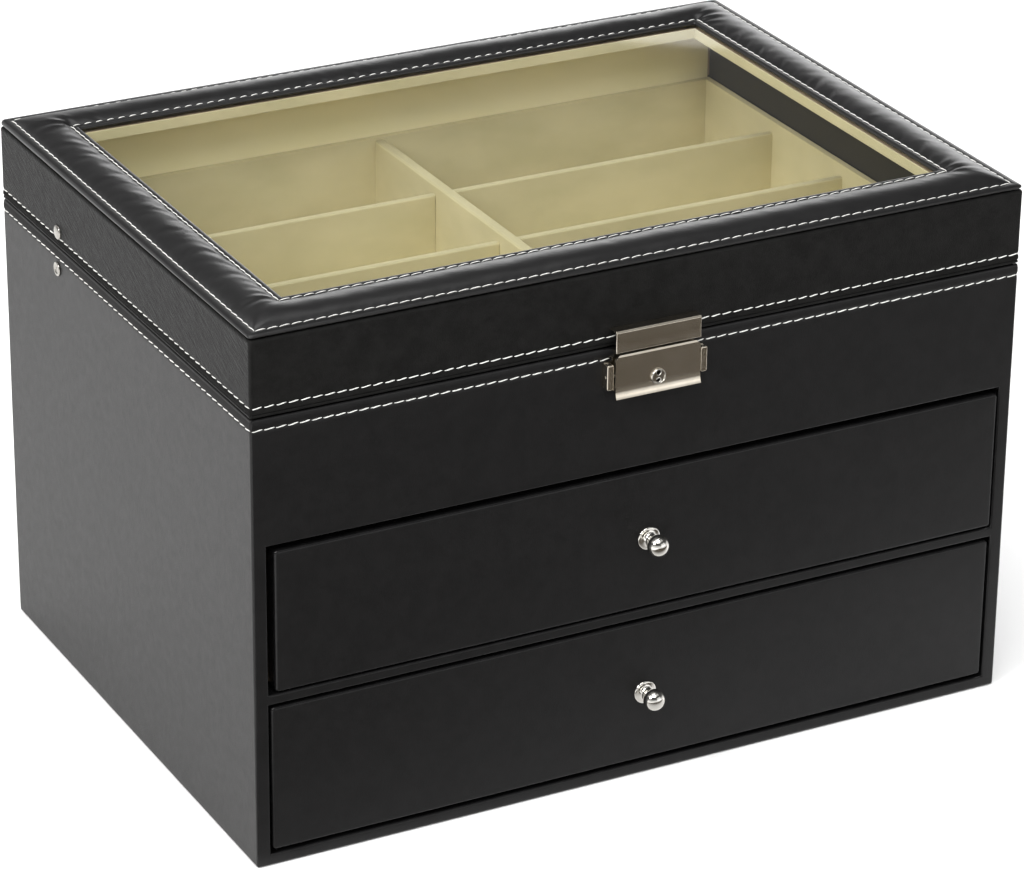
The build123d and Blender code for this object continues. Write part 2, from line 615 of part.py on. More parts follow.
with BuildPart() as stay_lid_rivet:
    with BuildSketch(Plane.YZ.offset(-HX)):
        with Locations((Q_Y, Q_Z)):
            Circle(1.5)
    extrude(amount=UP_X0 + ARM_T + 0.8 + HX)
    with BuildSketch(Plane.YZ.offset(-HX - 1.0)):
        with Locations((Q_Y, Q_Z)):
            Circle(3.0)
    extrude(amount=1.0)
    fillet(stay_lid_rivet.edges().filter_by(GeomType.CIRCLE).sort_by(Axis.X)[0], 0.8)
    # shoulder between the lining and the arm
    with BuildSketch(Plane.YZ.offset(-HX + WALL)):
        with Locations((Q_Y, Q_Z)):
            Circle(2.4)
    extrude(amount=UP_X0 - 0.1 + HX - WALL)
    with BuildSketch(Plane.YZ.offset(UP_X0 + ARM_T + 0.1)):
        with Locations((Q_Y, Q_Z)):
            Circle(2.6)
    extrude(amount=0.7)
save(stay_lid_rivet, "stay_lid_rivet")

with BuildPart() as stay_lower_arm:
    with BuildSketch(Plane.YZ.offset(LOW_X0)):
        with Locations(((P_Y + E_Y) / 2, (P_Z + E_Z) / 2)):
            SlotCenterToCenter(ARM, ARM_W, rotation=math.degrees(ELBOW_DIR))
        with Locations((P_Y, P_Z)):
            Circle(1.55, mode=Mode.SUBTRACT)
        with Locations((E_Y, E_Z)):
            Circle(1.4, mode=Mode.SUBTRACT)
    extrude(amount=ARM_T)
save(stay_lower_arm, "stay_lower_arm")

with BuildPart() as stay_elbow_rivet:
    with BuildSketch(Plane.YZ.offset(LOW_X0 - 0.1)):
        with Locations((E_Y, E_Z)):
            Circle(1.4)
    extrude(amount=ARM_T + 0.2)
save(stay_elbow_rivet, "stay_elbow_rivet")

with BuildPart() as stay_upper_arm:
    with BuildSketch(Plane.YZ.offset(UP_X0)):
        with Locations(((Q_Y + E_Y) / 2, (Q_Z + E_Z) / 2)):
            SlotCenterToCenter(ARM, ARM_W, rotation=math.degrees(UP_REST))
        with Locations((Q_Y, Q_Z)):
            Circle(1.55, mode=Mode.SUBTRACT)
    extrude(amount=ARM_T)
    # peened head of the elbow on the inner face
    with BuildSketch(Plane.YZ.offset(UP_X0 + ARM_T)):
        with Locations((E_Y, E_Z)):
            Circle(2.2)
    extrude(amount=0.7)
    fillet(stay_upper_arm.edges().filter_by(GeomType.CIRCLE).sort_by(Axis.X)[-1], 0.5)
save(stay_upper_arm, "stay_upper_arm")


# ---------------------------------------------------------------- drawers
def drawer(name, front, box_centre, knob_z):
    x0, x1, z0, z1 = front
    yf = -HY
    xc, zc = (x0 + x1) / 2, (z0 + z1) / 2
    y_in = yf + FRONT_T                    # back face of the front board
    xl, xr = box_centre - BOX_HALF, box_centre + BOX_HALF
    floor_lo, floor_hi = z0 + 1.5, z0 + 4.5

    with BuildPart() as front_board:
        with BuildSketch(Plane.XZ.offset(-y_in)):
            with Locations((xc, zc)):
                RectangleRounded(x1 - x0 - 2 * SKIN, z1 - z0 - 2 * SKIN, 1.2)
        extrude(amount=FRONT_T - SKIN)
        fillet(front_board.faces().sort_by(Axis.Y)[0].edges(), 1.0)
        with BuildSketch(Plane.XZ.offset(-y_in)):
            with Locations((KNOB_X, knob_z)):
                Circle(1.6)
        extrude(amount=FRONT_T, mode=Mode.SUBTRACT)
    save(front_board, name + "_drawer_front_board")

    with BuildPart() as front_skin:
        with BuildSketch(Plane.XZ.offset(-y_in)):
            with Locations((xc, zc)):
                RectangleRounded(x1 - x0, z1 - z0, 2.0)
        extrude(amount=FRONT_T)
        fillet(front_skin.faces().sort_by(Axis.Y)[0].edges(), 1.8)
        with BuildPart(mode=Mode.PRIVATE) as core:
            with BuildSketch(Plane.XZ.offset(-y_in - 1)):
                with Locations((xc, zc)):
                    RectangleRounded(x1 - x0 - 2 * SKIN, z1 - z0 - 2 * SKIN, 1.2)
            extrude(amount=FRONT_T - SKIN + 1)
            fillet(core.faces().sort_by(Axis.Y)[0].edges(), 1.0)
        add(core.part, mode=Mode.SUBTRACT)
        with BuildSketch(Plane.XZ.offset(-y_in)):
            with Locations((KNOB_X, knob_z)):
                Circle(1.6)
        extrude(amount=FRONT_T, mode=Mode.SUBTRACT)
    save(front_skin, name + "_drawer_front_leather")

    with BuildPart() as sides:
        with BuildSketch(Plane.XY.offset(z0)):
            with Locations((xl + BOX_T / 2, (y_in + BOX_BACK) / 2), (xr - BOX_T / 2, (y_in + BOX_BACK) / 2)):
                Rectangle(BOX_T, BOX_BACK - y_in)
        extrude(amount=BOX_H)
    save(sides, name + "_drawer_sides")

    with BuildPart() as back:
        with BuildSketch(Plane.XY.offset(z0)):
            with Locations((box_centre, BOX_BACK - BOX_T / 2)):
                Rectangle(2 * (BOX_HALF - BOX_T), BOX_T)
        extrude(amount=BOX_H)
    save(back, name + "_drawer_back")

    with BuildPart() as bottom:
        with BuildSketch(Plane.XY.offset(floor_lo)):
            with Locations((box_centre, (y_in + BOX_BACK - BOX_T) / 2)):
                Rectangle(2 * (BOX_HALF - BOX_T), BOX_BACK - BOX_T - y_in)
        extrude(amount=floor_hi - floor_lo)
    save(bottom, name + "_drawer_bottom")

    ya, yb = y_in, BOX_BACK - BOX_T
    xa, xb = xl + BOX_T, xr - BOX_T
    top = z0 + BOX_H
    with BuildPart() as lining:
        with BuildSketch(Plane.XY.offset(floor_hi)):
            with Locations((box_centre, (ya + yb) / 2)):
                Rectangle(xb - xa, yb - ya)
        extrude(amount=1.0)
        with BuildSketch(Plane.XY.offset(floor_hi + 1.05)):
            with Locations((xa + 0.5, (ya + yb) / 2), (xb - 0.5, (ya + yb) / 2)):
                Rectangle(1.0, yb - ya)
            with Locations((box_centre, ya + 0.5), (box_centre, yb - 0.5)):
                Rectangle(xb - xa - 2.1, 1.0)
        extrude(amount=top - floor_hi - 1.05)
        with BuildSketch(Plane.XZ.offset(-ya - 1.5)):
            with Locations((KNOB_X, knob_z)):
                Circle(4.3)
        extrude(amount=3, mode=Mode.SUBTRACT)
    save(lining, name + "_drawer_lining")

    # divider grid: one centre strip and three cross strips, half-lapped
    z_base, z_top = floor_hi + 1.0, z0 + BOX_H - 6.0
    lap = (z_base + z_top) / 2
    length = yb - ya - 2.0
    step = (length + CROSS_DIV_T) / 4
    ys = [(ya + yb) / 2 + k * step for k in (-1, 0, 1)]
    with BuildPart() as dividers:
        with BuildSketch(Plane.XY.offset(z_base)):
            with Locations((box_centre, (ya + yb) / 2)):
                Rectangle(CENTRE_DIV_T, length - 0.2)
        extrude(amount=z_top + 3.0 - z_base)
        with BuildSketch(Plane.XY.offset(z_base)):
            with Locations(*[(box_centre, y) for y in ys]):
                Rectangle(CENTRE_DIV_T + 2, CROSS_DIV_T + 2 * LAP_GAP)
        extrude(amount=lap + 0.05 - z_base, mode=Mode.SUBTRACT)
        # room for the head of the knob screw
        with BuildSketch(Plane.XZ.offset(-ya - 6)):
            with Locations((KNOB_X, knob_z)):
                Circle(5.0)
        extrude(amount=8, mode=Mode.SUBTRACT)
        for y in ys:
            with BuildPart(mode=Mode.PRIVATE) as strip:
                with BuildSketch(Plane.XY.offset(z_base)):
                    with Locations((box_centre, y)):
                        Rectangle(xb - xa - 2.1, CROSS_DIV_T)
                extrude(amount=z_top - z_base)
                with BuildSketch(Plane.XY.offset(lap - 0.05)):
                    with Locations((box_centre, y)):
                        Rectangle(CENTRE_DIV_T + 2 * LAP_GAP, CROSS_DIV_T + 2)
                extrude(amount=z_top, mode=Mode.SUBTRACT)
            add(strip.part)
    save(dividers, name + "_drawer_dividers")

    # turned knob: flange, neck and slightly flattened ball
    with BuildPart() as knob:
        with BuildSketch(Plane.XY.offset(knob_z)):
            with BuildLine():
                Polyline((KNOB_X, yf), (KNOB_X + 4.85, yf), (KNOB_X + 4.85, yf - 0.7), (KNOB_X + 4.2, yf - 1.3),
                         (KNOB_X + 2.4, yf - 1.7), (KNOB_X + 1.95, yf - 2.6), (KNOB_X + 2.0, yf - 3.9))
                Spline((KNOB_X + 2.0, yf - 3.9), (KNOB_X + 3.5, yf - 5.3), (KNOB_X + 4.5, yf - KNOB_PROUD),
                       (KNOB_X + 3.1, yf - 10.9), (KNOB_X, yf - 12.0),
                       tangents=[(0.7, -0.7), (-1, 0)])
                Line((KNOB_X, yf - 12.0), (KNOB_X, yf))
            make_face()
        revolve(axis=Axis((KNOB_X, yf, knob_z), (0, 1, 0)))
        with BuildSketch(Plane.XZ.offset(-yf)):
            with Locations((KNOB_X, knob_z)):
                Circle(1.5)
        extrude(amount=6.0, mode=Mode.SUBTRACT)
    save(knob, name + "_drawer_knob")

    with BuildPart() as screw:
        with BuildSketch(Plane.XZ.offset(-y_in)):
            with Locations((KNOB_X, knob_z)):
                Circle(1.5)
        extrude(amount=FRONT_T + 5.5)
        with BuildSketch(Plane.XZ.offset(-y_in - 2.2)):
            with Locations((KNOB_X, knob_z)):
                Circle(3.6)
        extrude(amount=2.2)
        fillet(screw.edges().filter_by(GeomType.CIRCLE).sort_by(Axis.Y)[-1], 0.9)
        with BuildSketch(Plane.XZ.offset(-y_in - 2.2)):
            with Locations((KNOB_X, knob_z)):
                Rectangle(4.4, 0.8)
                Rectangle(0.8, 4.4)
        extrude(amount=1.1, mode=Mode.SUBTRACT)
    save(screw, name + "_drawer_knob_screw")


drawer("upper", UPPER, 1.35, KNOB_Z["upper"])
drawer("lower", LOWER, 0.0, KNOB_Z["lower"])
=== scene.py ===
# Glasses box with two drawers: leatherette skins, padded lid frame, stitching,
# velvet, metalwork and a plain studio, built round the fixed frame.
import bpy
import bmesh
import json
import math
import numpy as np
from mathutils import Matrix, Vector

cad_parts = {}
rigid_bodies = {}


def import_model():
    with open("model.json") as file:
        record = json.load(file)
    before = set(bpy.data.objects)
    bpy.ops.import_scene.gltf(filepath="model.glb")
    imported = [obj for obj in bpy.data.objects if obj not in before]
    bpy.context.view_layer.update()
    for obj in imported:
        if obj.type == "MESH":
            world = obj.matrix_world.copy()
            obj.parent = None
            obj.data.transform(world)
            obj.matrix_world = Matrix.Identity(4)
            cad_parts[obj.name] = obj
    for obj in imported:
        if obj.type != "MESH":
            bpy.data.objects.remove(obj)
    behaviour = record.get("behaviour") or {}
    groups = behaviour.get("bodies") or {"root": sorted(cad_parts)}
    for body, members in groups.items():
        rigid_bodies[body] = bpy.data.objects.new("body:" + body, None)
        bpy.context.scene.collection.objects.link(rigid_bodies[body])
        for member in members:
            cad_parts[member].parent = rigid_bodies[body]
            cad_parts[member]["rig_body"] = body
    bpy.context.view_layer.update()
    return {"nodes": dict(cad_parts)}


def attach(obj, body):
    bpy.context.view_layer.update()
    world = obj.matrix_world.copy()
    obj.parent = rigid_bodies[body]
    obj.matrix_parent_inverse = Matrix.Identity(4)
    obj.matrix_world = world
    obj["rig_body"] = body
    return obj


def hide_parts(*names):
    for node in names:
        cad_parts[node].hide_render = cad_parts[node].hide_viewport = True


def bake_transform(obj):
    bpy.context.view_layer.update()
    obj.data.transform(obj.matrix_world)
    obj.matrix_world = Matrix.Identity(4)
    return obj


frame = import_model()
NODES = frame["nodes"]
SC = bpy.context.scene

MM = 0.001
HX, HY = 167.5, 121.5          # half width and half depth, mm
LX = 0.95                      # lock centre
KX, KZ = 1.2, {"upper": 104.4, "lower": 36.6}


# ------------------------------------------------------------------ helpers
def link(ob):
    SC.collection.objects.link(ob)
    return ob


def wob(p, size, seed, terms=14):
    """Smooth random value, about -1..1, at points p in mm, with features of about size mm."""
    rng = np.random.RandomState(seed)
    p = np.asarray(p, float)
    out = np.zeros(len(p))
    for _ in range(terms):
        k = rng.normal(size=3)
        k *= (0.6 + 0.9 * rng.rand()) * math.pi / size / np.linalg.norm(k)
        out += np.sin(p @ k + rng.rand() * 6.2832)
    return out / math.sqrt(terms / 2) / 1.8


def mesh_object(name, verts, faces, mat, sharp=None, labels=None):
    me = bpy.data.meshes.new(name)
    me.from_pydata([(float(v[0]) * MM, float(v[1]) * MM, float(v[2]) * MM) for v in verts], [], faces)
    me.update()
    me.shade_smooth()
    if sharp is not None:
        me.set_sharp_from_angle(angle=math.radians(sharp))
    me.materials.append(mat)
    return link(bpy.data.objects.new(name, me))


def area_normals(verts, faces):
    """Vertex normals weighted by face area, so that large flat faces stay flat beside rounded edges."""
    v = np.asarray(verts, float)
    n = np.zeros_like(v)
    for f in faces:
        f = list(f)
        a = np.zeros(3)
        for i in range(1, len(f) - 1):
            a += np.cross(v[f[i]] - v[f[0]], v[f[i + 1]] - v[f[0]])
        n[f] += a
    return n / np.maximum(np.linalg.norm(n, axis=1), 1e-12)[:, None]


def shell(name, verts, normals, faces, mm, mat):
    """Closed thin skin: the outer faces, the same faces mm inside them, and the rims between."""
    verts, normals = np.asarray(verts, float), np.asarray(normals, float)
    n = len(verts)
    allv = np.concatenate([verts, verts - normals * mm])
    out = [tuple(f) for f in faces] + [tuple(n + k for k in reversed(f)) for f in faces]
    seen = {}
    for f in faces:
        for a, b in zip(f, list(f[1:]) + [f[0]]):
            seen[(a, b)] = True
    for a, b in seen:
        if (b, a) not in seen:
            out.append((b, a, n + a, n + b))
    ob = mesh_object(name, allv, out, mat)
    ob.data.normals_split_custom_set_from_vertices(
        [tuple(map(float, k)) for k in np.concatenate([normals, -normals])])
    return ob


def settle(ob):
    """Makes the shape that the modifiers give the object's own mesh."""
    bpy.context.view_layer.update()
    dg = bpy.context.evaluated_depsgraph_get()
    me = bpy.data.meshes.new_from_object(ob.evaluated_get(dg), depsgraph=dg)
    me.name = ob.name
    ob.modifiers.clear()
    ob.data = me
    return ob


def thick(ob, mm, even=True):
    m = ob.modifiers.new("thickness", "SOLIDIFY")
    m.thickness = mm * MM
    m.offset = -1.0
    m.use_even_offset = even
    m.use_quality_normals = True
    return ob


def plan(a, b, r, xs, ys, n_arc):
    """Rounded rectangle of half sizes a, b, anticlockwise from the low-v, low-u corner."""
    r = max(min(r, a, b), 0.0)
    pts = [(s * (a - r), -b) for s in xs]
    q = [math.pi / 2 * (k + 1) / (n_arc + 1) for k in range(n_arc)]
    pts += [(a - r + r * math.sin(t), -(b - r) - r * math.cos(t)) for t in q]
    pts += [(a, s * (b - r)) for s in ys]
    pts += [(a - r + r * math.cos(t), b - r + r * math.sin(t)) for t in q]
    pts += [(-s * (a - r), b) for s in xs]
    pts += [(-(a - r) - r * math.sin(t), b - r + r * math.cos(t)) for t in q]
    pts += [(-a, -s * (b - r)) for s in ys]
    pts += [(-(a - r) - r * math.cos(t), -(b - r) - r * math.sin(t)) for t in q]
    return pts


def rings(profile, radius, xs, ys, n_arc, hx=HX, hy=HY):
    """One plan loop per (inset, height) of the profile, as an array rows x columns x 3."""
    out = []
    for i, z in profile:
        out.append([(u, v, z) for u, v in plan(hx - i, hy - i, radius(i), xs, ys, n_arc)])
    return np.array(out, float)


def ring_faces(rows, cols, closed=False):
    fs = []
    for p in range(rows if closed else rows - 1):
        q = (p + 1) % rows
        for m in range(cols):
            n = (m + 1) % cols
            fs.append((p * cols + m, p * cols + n, q * cols + n, q * cols + m))
    return fs


def spread(step, half):
    n = max(2, int(round(2 * half / step)))
    return list(np.linspace(-1, 1, n + 1))


def lathe(name, profile, origin, axis, mat, n=72, sharp=40, closed=False):
    """Turned piece: profile of (radius, distance along the axis) in mm."""
    a = Vector(axis).normalized()
    e1 = a.orthogonal().normalized()
    e2 = a.cross(e1)
    o = Vector(origin)
    verts, faces, tops = [], [], []
    for r, d in profile:
        if r < 1e-6:
            tops.append((len(verts), 1))
            verts.append(o + a * d)
        else:
            tops.append((len(verts), n))
            for k in range(n):
                t = 2 * math.pi * k / n
                verts.append(o + a * d + (e1 * math.cos(t) + e2 * math.sin(t)) * r)
    for (s0, c0), (s1, c1) in zip(tops, tops[1:]):
        for k in range(n):
            j = (k + 1) % n
            if c0 == 1 and c1 == 1:
                continue
            if c0 == 1:
                faces.append((s0, s1 + j, s1 + k))
            elif c1 == 1:
                faces.append((s0 + k, s0 + j, s1))
            else:
                faces.append((s0 + k, s0 + j, s1 + j, s1 + k))
    if tops[0][1] == n:
        faces.append(tuple(reversed(range(tops[0][0], tops[0][0] + n))))
    if tops[-1][1] == n:
        faces.append(tuple(range(tops[-1][0], tops[-1][0] + n)))
    return mesh_object(name, verts, faces, mat, sharp=sharp)


def body_of(node):
    return NODES[node]["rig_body"]


def done(ob, body, nodes=()):
    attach(ob, body)
    if nodes:
        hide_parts(*nodes)
    return ob


def refine(node, mat, bevel=0.25, seg=3, angle=28, wave=0.0, wave_size=20, seed=1, cut=0.0, crest=0.0):
    """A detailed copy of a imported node: welded, with its edges rounded, its long top edges by crest."""
    bm = bmesh.new()
    bm.from_mesh(NODES[node].data)
    bmesh.ops.remove_doubles(bm, verts=bm.verts, dist=3e-6)
    bmesh.ops.dissolve_limit(bm, angle_limit=math.radians(0.5), verts=bm.verts, edges=bm.edges)
    if wave or cut:
        for axis in range(3):
            lo = min(v.co[axis] for v in bm.verts)
            hi = max(v.co[axis] for v in bm.verts)
            n = int((hi - lo) / (cut * MM))
            if n < 2:
                continue
            for k in range(1, n + 1):
                at, normal = [0, 0, 0], [0, 0, 0]
                at[axis], normal[axis] = lo + (hi - lo) * k / (n + 1), 1
                bmesh.ops.bisect_plane(bm, geom=bm.verts[:] + bm.edges[:] + bm.faces[:],
                                       plane_co=at, plane_no=normal, dist=1e-7)
    if crest:
        layer = bm.edges.layers.float.new("bevel_weight_edge")
        top = max(v.co.z for v in bm.verts)
        for e in bm.edges:
            if len(e.link_faces) == 2 and e.calc_face_angle(0) > math.radians(angle):
                long_top = e.calc_length() > 12 * MM and all(v.co.z > top - 0.1 * MM for v in e.verts)
                e[layer] = 1.0 if long_top else bevel / crest
    me = bpy.data.meshes.new(node + "_finished")
    bm.to_mesh(me)
    bm.free()
    if wave:
        co = np.array([v.co for v in me.vertices], float) / MM
        no = np.array([v.normal for v in me.vertices], float)
        co += no * (wave * wob(co, wave_size, seed))[:, None]
        me.vertices.foreach_set("co", (co * MM).astype(np.float32).ravel())
        me.update()
    me.shade_smooth()
    me.materials.clear()
    me.materials.append(mat)
    ob = link(bpy.data.objects.new(node + "_finished", me))
    if bevel:
        m = ob.modifiers.new("edges", "BEVEL")
        m.width, m.segments = (crest or bevel) * MM, seg
        m.limit_method, m.angle_limit = ("WEIGHT" if crest else "ANGLE"), math.radians(angle)
        m.use_clamp_overlap = True
        m.harden_normals = True
    w = ob.modifiers.new("normals", "WEIGHTED_NORMAL")
    w.keep_sharp = True
    return done(ob, body_of(node), [node])


# ------------------------------------------------------------------ materials
class Graph:
    """Node material in few words."""

    def __init__(self, name):
        self.mat = bpy.data.materials.new(name)
        self.mat.use_nodes = True
        self.tree = self.mat.node_tree
        self.tree.nodes.clear()
        self.out = self.tree.nodes.new("ShaderNodeOutputMaterial")
        self.co = self.n("ShaderNodeTexCoord").outputs["Object"]

    def n(self, kind, props=None, ins=None):
        node = self.tree.nodes.new(kind)
        for k, v in (props or {}).items():
            setattr(node, k, v)
        for k, v in (ins or {}).items():
            s = node.inputs[k]
            if isinstance(v, bpy.types.NodeSocket):
                self.tree.links.new(v, s)
            else:
                s.default_value = v
        return node

    def noise(self, scale, detail=3.0, rough=0.55, co=None, distortion=0.0):
        return self.n("ShaderNodeTexNoise", {"noise_dimensions": "3D"},
                      {"Vector": co or self.co, "Scale": scale, "Detail": detail, "Roughness": rough,
                       "Distortion": distortion}).outputs["Fac"]

    def cells(self, scale, feature="F1", co=None, smooth=0.6, randomness=1.0):
        ins = {"Vector": co or self.co, "Scale": scale, "Randomness": randomness}
        if feature == "SMOOTH_F1":
            ins["Smoothness"] = smooth
        return self.n("ShaderNodeTexVoronoi", {"feature": feature}, ins).outputs["Distance"]

    def math(self, op, a, b=None, clamp=False):
        ins = {0: a}
        if b is not None:
            ins[1] = b
        return self.n("ShaderNodeMath", {"operation": op, "use_clamp": clamp}, ins).outputs[0]

    def span(self, v, a, b, c, d):
        return self.n("ShaderNodeMapRange", {"interpolation_type": "SMOOTHSTEP"},
                      {"Value": v, "From Min": a, "From Max": b, "To Min": c, "To Max": d}).outputs["Result"]

    def mix(self, f, a, b):
        n = self.n("ShaderNodeMix", {"data_type": "RGBA"})
        for s, v in ((n.inputs[0], f), (n.inputs[6], a), (n.inputs[7], b)):
            if isinstance(v, bpy.types.NodeSocket):
                self.tree.links.new(v, s)
            else:
                s.default_value = v
        return n.outputs[2]

    def stretch(self, scale, rot=(0, 0, 0)):
        return self.n("ShaderNodeMapping", {"vector_type": "POINT"},
                      {"Vector": self.co, "Rotation": rot, "Scale": scale}).outputs["Vector"]

    def bump(self, height, strength, mm, under=None):
        ins = {"Height": height, "Strength": strength, "Distance": mm * MM}
        if under is not None:
            ins["Normal"] = under
        return self.n("ShaderNodeBump", None, ins).outputs["Normal"]

    def surface(self, node, socket="BSDF"):
        self.tree.links.new(node.outputs[socket], self.out.inputs["Surface"])
        return self.mat


def rgb(r, g, b):
    return (r, g, b, 1.0)


def leather(name, dark, light, rough, spec, grain, streak=0.0, streak_rot=(0, 0, 0), mottle=0.02, sheen=0.0,
            fold=0.0, band=None):
    """Black leatherette: embossed pebble grain with fine creases between the pebbles.

    fold polishes the turned edges of a front face, band dulls the strip between two heights."""
    g = Graph(name)
    warp = g.n("ShaderNodeTexNoise", None, {"Vector": g.co, "Scale": 300.0, "Detail": 2.0}).outputs["Color"]
    shifted = g.n("ShaderNodeVectorMath", {"operation": "MULTIPLY_ADD"},
                  {0: warp, 1: (0.0012, 0.0012, 0.0012), 2: g.co}).outputs[0]
    edge = g.cells(1150.0, "DISTANCE_TO_EDGE", shifted)
    edge = g.span(edge, 0.0, 0.22, 0.0, 1.0)
    fine = g.cells(2300.0, "SMOOTH_F1", shifted, 0.8)
    soft = g.noise(420.0, 3.0, 0.6)
    h = g.math("MULTIPLY_ADD", edge, 0.55)
    h.node.inputs[2].default_value = 0.0
    h2 = g.math("MULTIPLY_ADD", fine, -0.35)
    g.tree.links.new(h, h2.node.inputs[2])
    h3 = g.math("MULTIPLY_ADD", soft, 0.8)
    g.tree.links.new(h2, h3.node.inputs[2])
    normal = g.bump(h3, grain, 0.09)
    if streak:
        turned = g.stretch((1.0, 1.0, 1.0), streak_rot)
        lines = g.n("ShaderNodeMapping", {"vector_type": "POINT"}, {"Vector": turned, "Scale": (120.0, 120.0, 760.0)})
        s = g.noise(1.0, 4.0, 0.65, lines.outputs["Vector"])
        side = g.n("ShaderNodeSeparateXYZ", None, {0: g.n("ShaderNodeTexCoord").outputs["Normal"]}).outputs["X"]
        normal = g.bump(s, g.span(g.math("ABSOLUTE", side), 0.35, 0.85, 0.0, streak), 0.40, normal)
    mott = g.noise(160.0, 5.0, 0.7)
    tone = g.mix(g.span(mott, 0.3, 0.7, 0.0, 1.0), rgb(*dark), rgb(*light))
    r = g.span(g.noise(220.0, 5.0, 0.7), 0.3, 0.7, rough - mottle, rough + mottle)
    if fold:
        facing = g.n("ShaderNodeSeparateXYZ", None, {0: g.n("ShaderNodeTexCoord").outputs["Normal"]}).outputs["Y"]
        r = g.math("SUBTRACT", r, g.span(g.math("ABSOLUTE", facing), 0.92, 0.995, fold, 0.0))
    if band:
        z = g.n("ShaderNodeSeparateXYZ", None, {0: g.co}).outputs["Z"]
        inside = g.math("MULTIPLY", g.span(z, (band[0] - 0.3) * MM, (band[0] + 0.3) * MM, 0.0, 0.38),
                        g.span(z, (band[1] - 0.3) * MM, (band[1] + 0.3) * MM, 1.0, 0.0))
        r = g.math("ADD", r, inside)
    p = g.n("ShaderNodeBsdfPrincipled", None,
            {"Base Color": tone, "Roughness": r, "Specular IOR Level": spec, "Normal": normal})
    p.inputs["Sheen Weight"].default_value = sheen
    p.inputs["Sheen Roughness"].default_value = 0.5
    return g.surface(p)


def velvet(name, a, b, sheen=0.25, nap=1.0, crown=0.0):
    """Short flocked pile: fine fibre speckle, brushed patches and a soft sheen. crown paints shade onto the faces that
    point up.
    """
    g = Graph(name)
    patches = g.noise(26.0, 4.0, 0.55, g.stretch((1.0, 1.0, 1.9)))
    fibre = g.noise(3600.0, 2.0, 0.7)
    f = g.math("ADD", g.span(patches, 0.3, 0.7, 0.0, 0.72), g.span(fibre, 0.25, 0.75, -0.14, 0.28), clamp=True)
    tone = g.mix(f, rgb(*a), rgb(*b))
    # painted shade: the more a face points up, the more its cream is mixed towards a dark brown, up to crown
    if crown:
        up = g.n("ShaderNodeSeparateXYZ", None, {0: g.n("ShaderNodeNewGeometry").outputs["Normal"]}).outputs["Z"]
        tone = g.mix(g.span(up, 0.15, 0.95, 0.0, crown), tone, rgb(0.20, 0.175, 0.10))
    normal = g.bump(fibre, 0.5 * nap, 0.12)
    normal = g.bump(g.noise(240.0, 4.0, 0.6), 0.25 * nap, 0.18, normal)
    p = g.n("ShaderNodeBsdfPrincipled", None,
            {"Base Color": tone, "Roughness": g.span(fibre, 0.2, 0.8, 0.86, 0.98), "Normal": normal})
    p.inputs["Specular IOR Level"].default_value = 0.15
    p.inputs["Sheen Weight"].default_value = sheen
    p.inputs["Sheen Roughness"].default_value = 0.45
    p.inputs["Sheen Tint"].default_value = rgb(0.95, 0.90, 0.72)
    return g.surface(p)


def metal(name, a, b, rough, brush=0.0, brush_scale=(60.0, 2500.0, 2500.0), worn=0.03):
    g = Graph(name)
    cloud = g.noise(90.0, 4.0, 0.6)
    tone = g.mix(g.span(cloud, 0.3, 0.7, 0.0, 1.0), rgb(*a), rgb(*b))
    lines = g.noise(1.0, 2.0, 0.6, g.stretch(brush_scale))
    r = g.math("ADD", g.span(lines, 0.25, 0.75, rough - worn * 0.3, rough + worn * 0.3),
               g.span(g.noise(160.0, 3.0, 0.6), 0.4, 0.8, 0.0, worn * 0.7))
    p = g.n("ShaderNodeBsdfPrincipled", None, {"Base Color": tone, "Roughness": r})
    p.inputs["Metallic"].default_value = 1.0
    if brush:
        p.inputs["Normal"].default_value = (0, 0, 0)
        g.tree.links.new(g.bump(lines, brush, 0.01), p.inputs["Normal"])
    return g.surface(p)


def board(name):
    """Pressed fibre board, pale brown with fine chips."""
    g = Graph(name)
    chips = g.noise(900.0, 4.0, 0.7, g.stretch((1.0, 1.0, 2.6)))
    cloud = g.noise(40.0, 3.0, 0.5)
    f = g.math("ADD", g.span(chips, 0.3, 0.7, 0.0, 0.7), g.span(cloud, 0.3, 0.7, 0.0, 0.3), clamp=True)
    tone = g.mix(f, rgb(0.36, 0.26, 0.17), rgb(0.55, 0.42, 0.29))
    p = g.n("ShaderNodeBsdfPrincipled", None,
            {"Base Color": tone, "Roughness": g.span(chips, 0.2, 0.8, 0.75, 0.92), "Normal": g.bump(chips, 0.4, 0.15)})
    return g.surface(p)


def felt(name, a, b):
    g = Graph(name)
    fibre = g.noise(1400.0, 4.0, 0.8, distortion=1.2)
    tone = g.mix(g.span(fibre, 0.3, 0.7, 0.0, 1.0), rgb(*a), rgb(*b))
    p = g.n("ShaderNodeBsdfPrincipled", None,
            {"Base Color": tone, "Roughness": g.span(fibre, 0.2, 0.8, 0.88, 1.0), "Normal": g.bump(fibre, 0.7, 0.25)})
    p.inputs["Sheen Weight"].default_value = 0.3
    return g.surface(p)


def thread(name):
    """Waxed white sewing thread with a fine twist."""
    g = Graph(name)
    twist = g.noise(2600.0, 2.0, 0.5)
    tone = g.mix(g.span(twist, 0.3, 0.7, 0.0, 1.0), rgb(0.60, 0.60, 0.57), rgb(0.86, 0.86, 0.83))
    p = g.n("ShaderNodeBsdfPrincipled", None,
            {"Base Color": tone, "Roughness": g.span(twist, 0.2, 0.8, 0.5, 0.7), "Normal": g.bump(twist, 0.5, 0.08)})
    p.inputs["Specular IOR Level"].default_value = 0.35
    return g.surface(p)


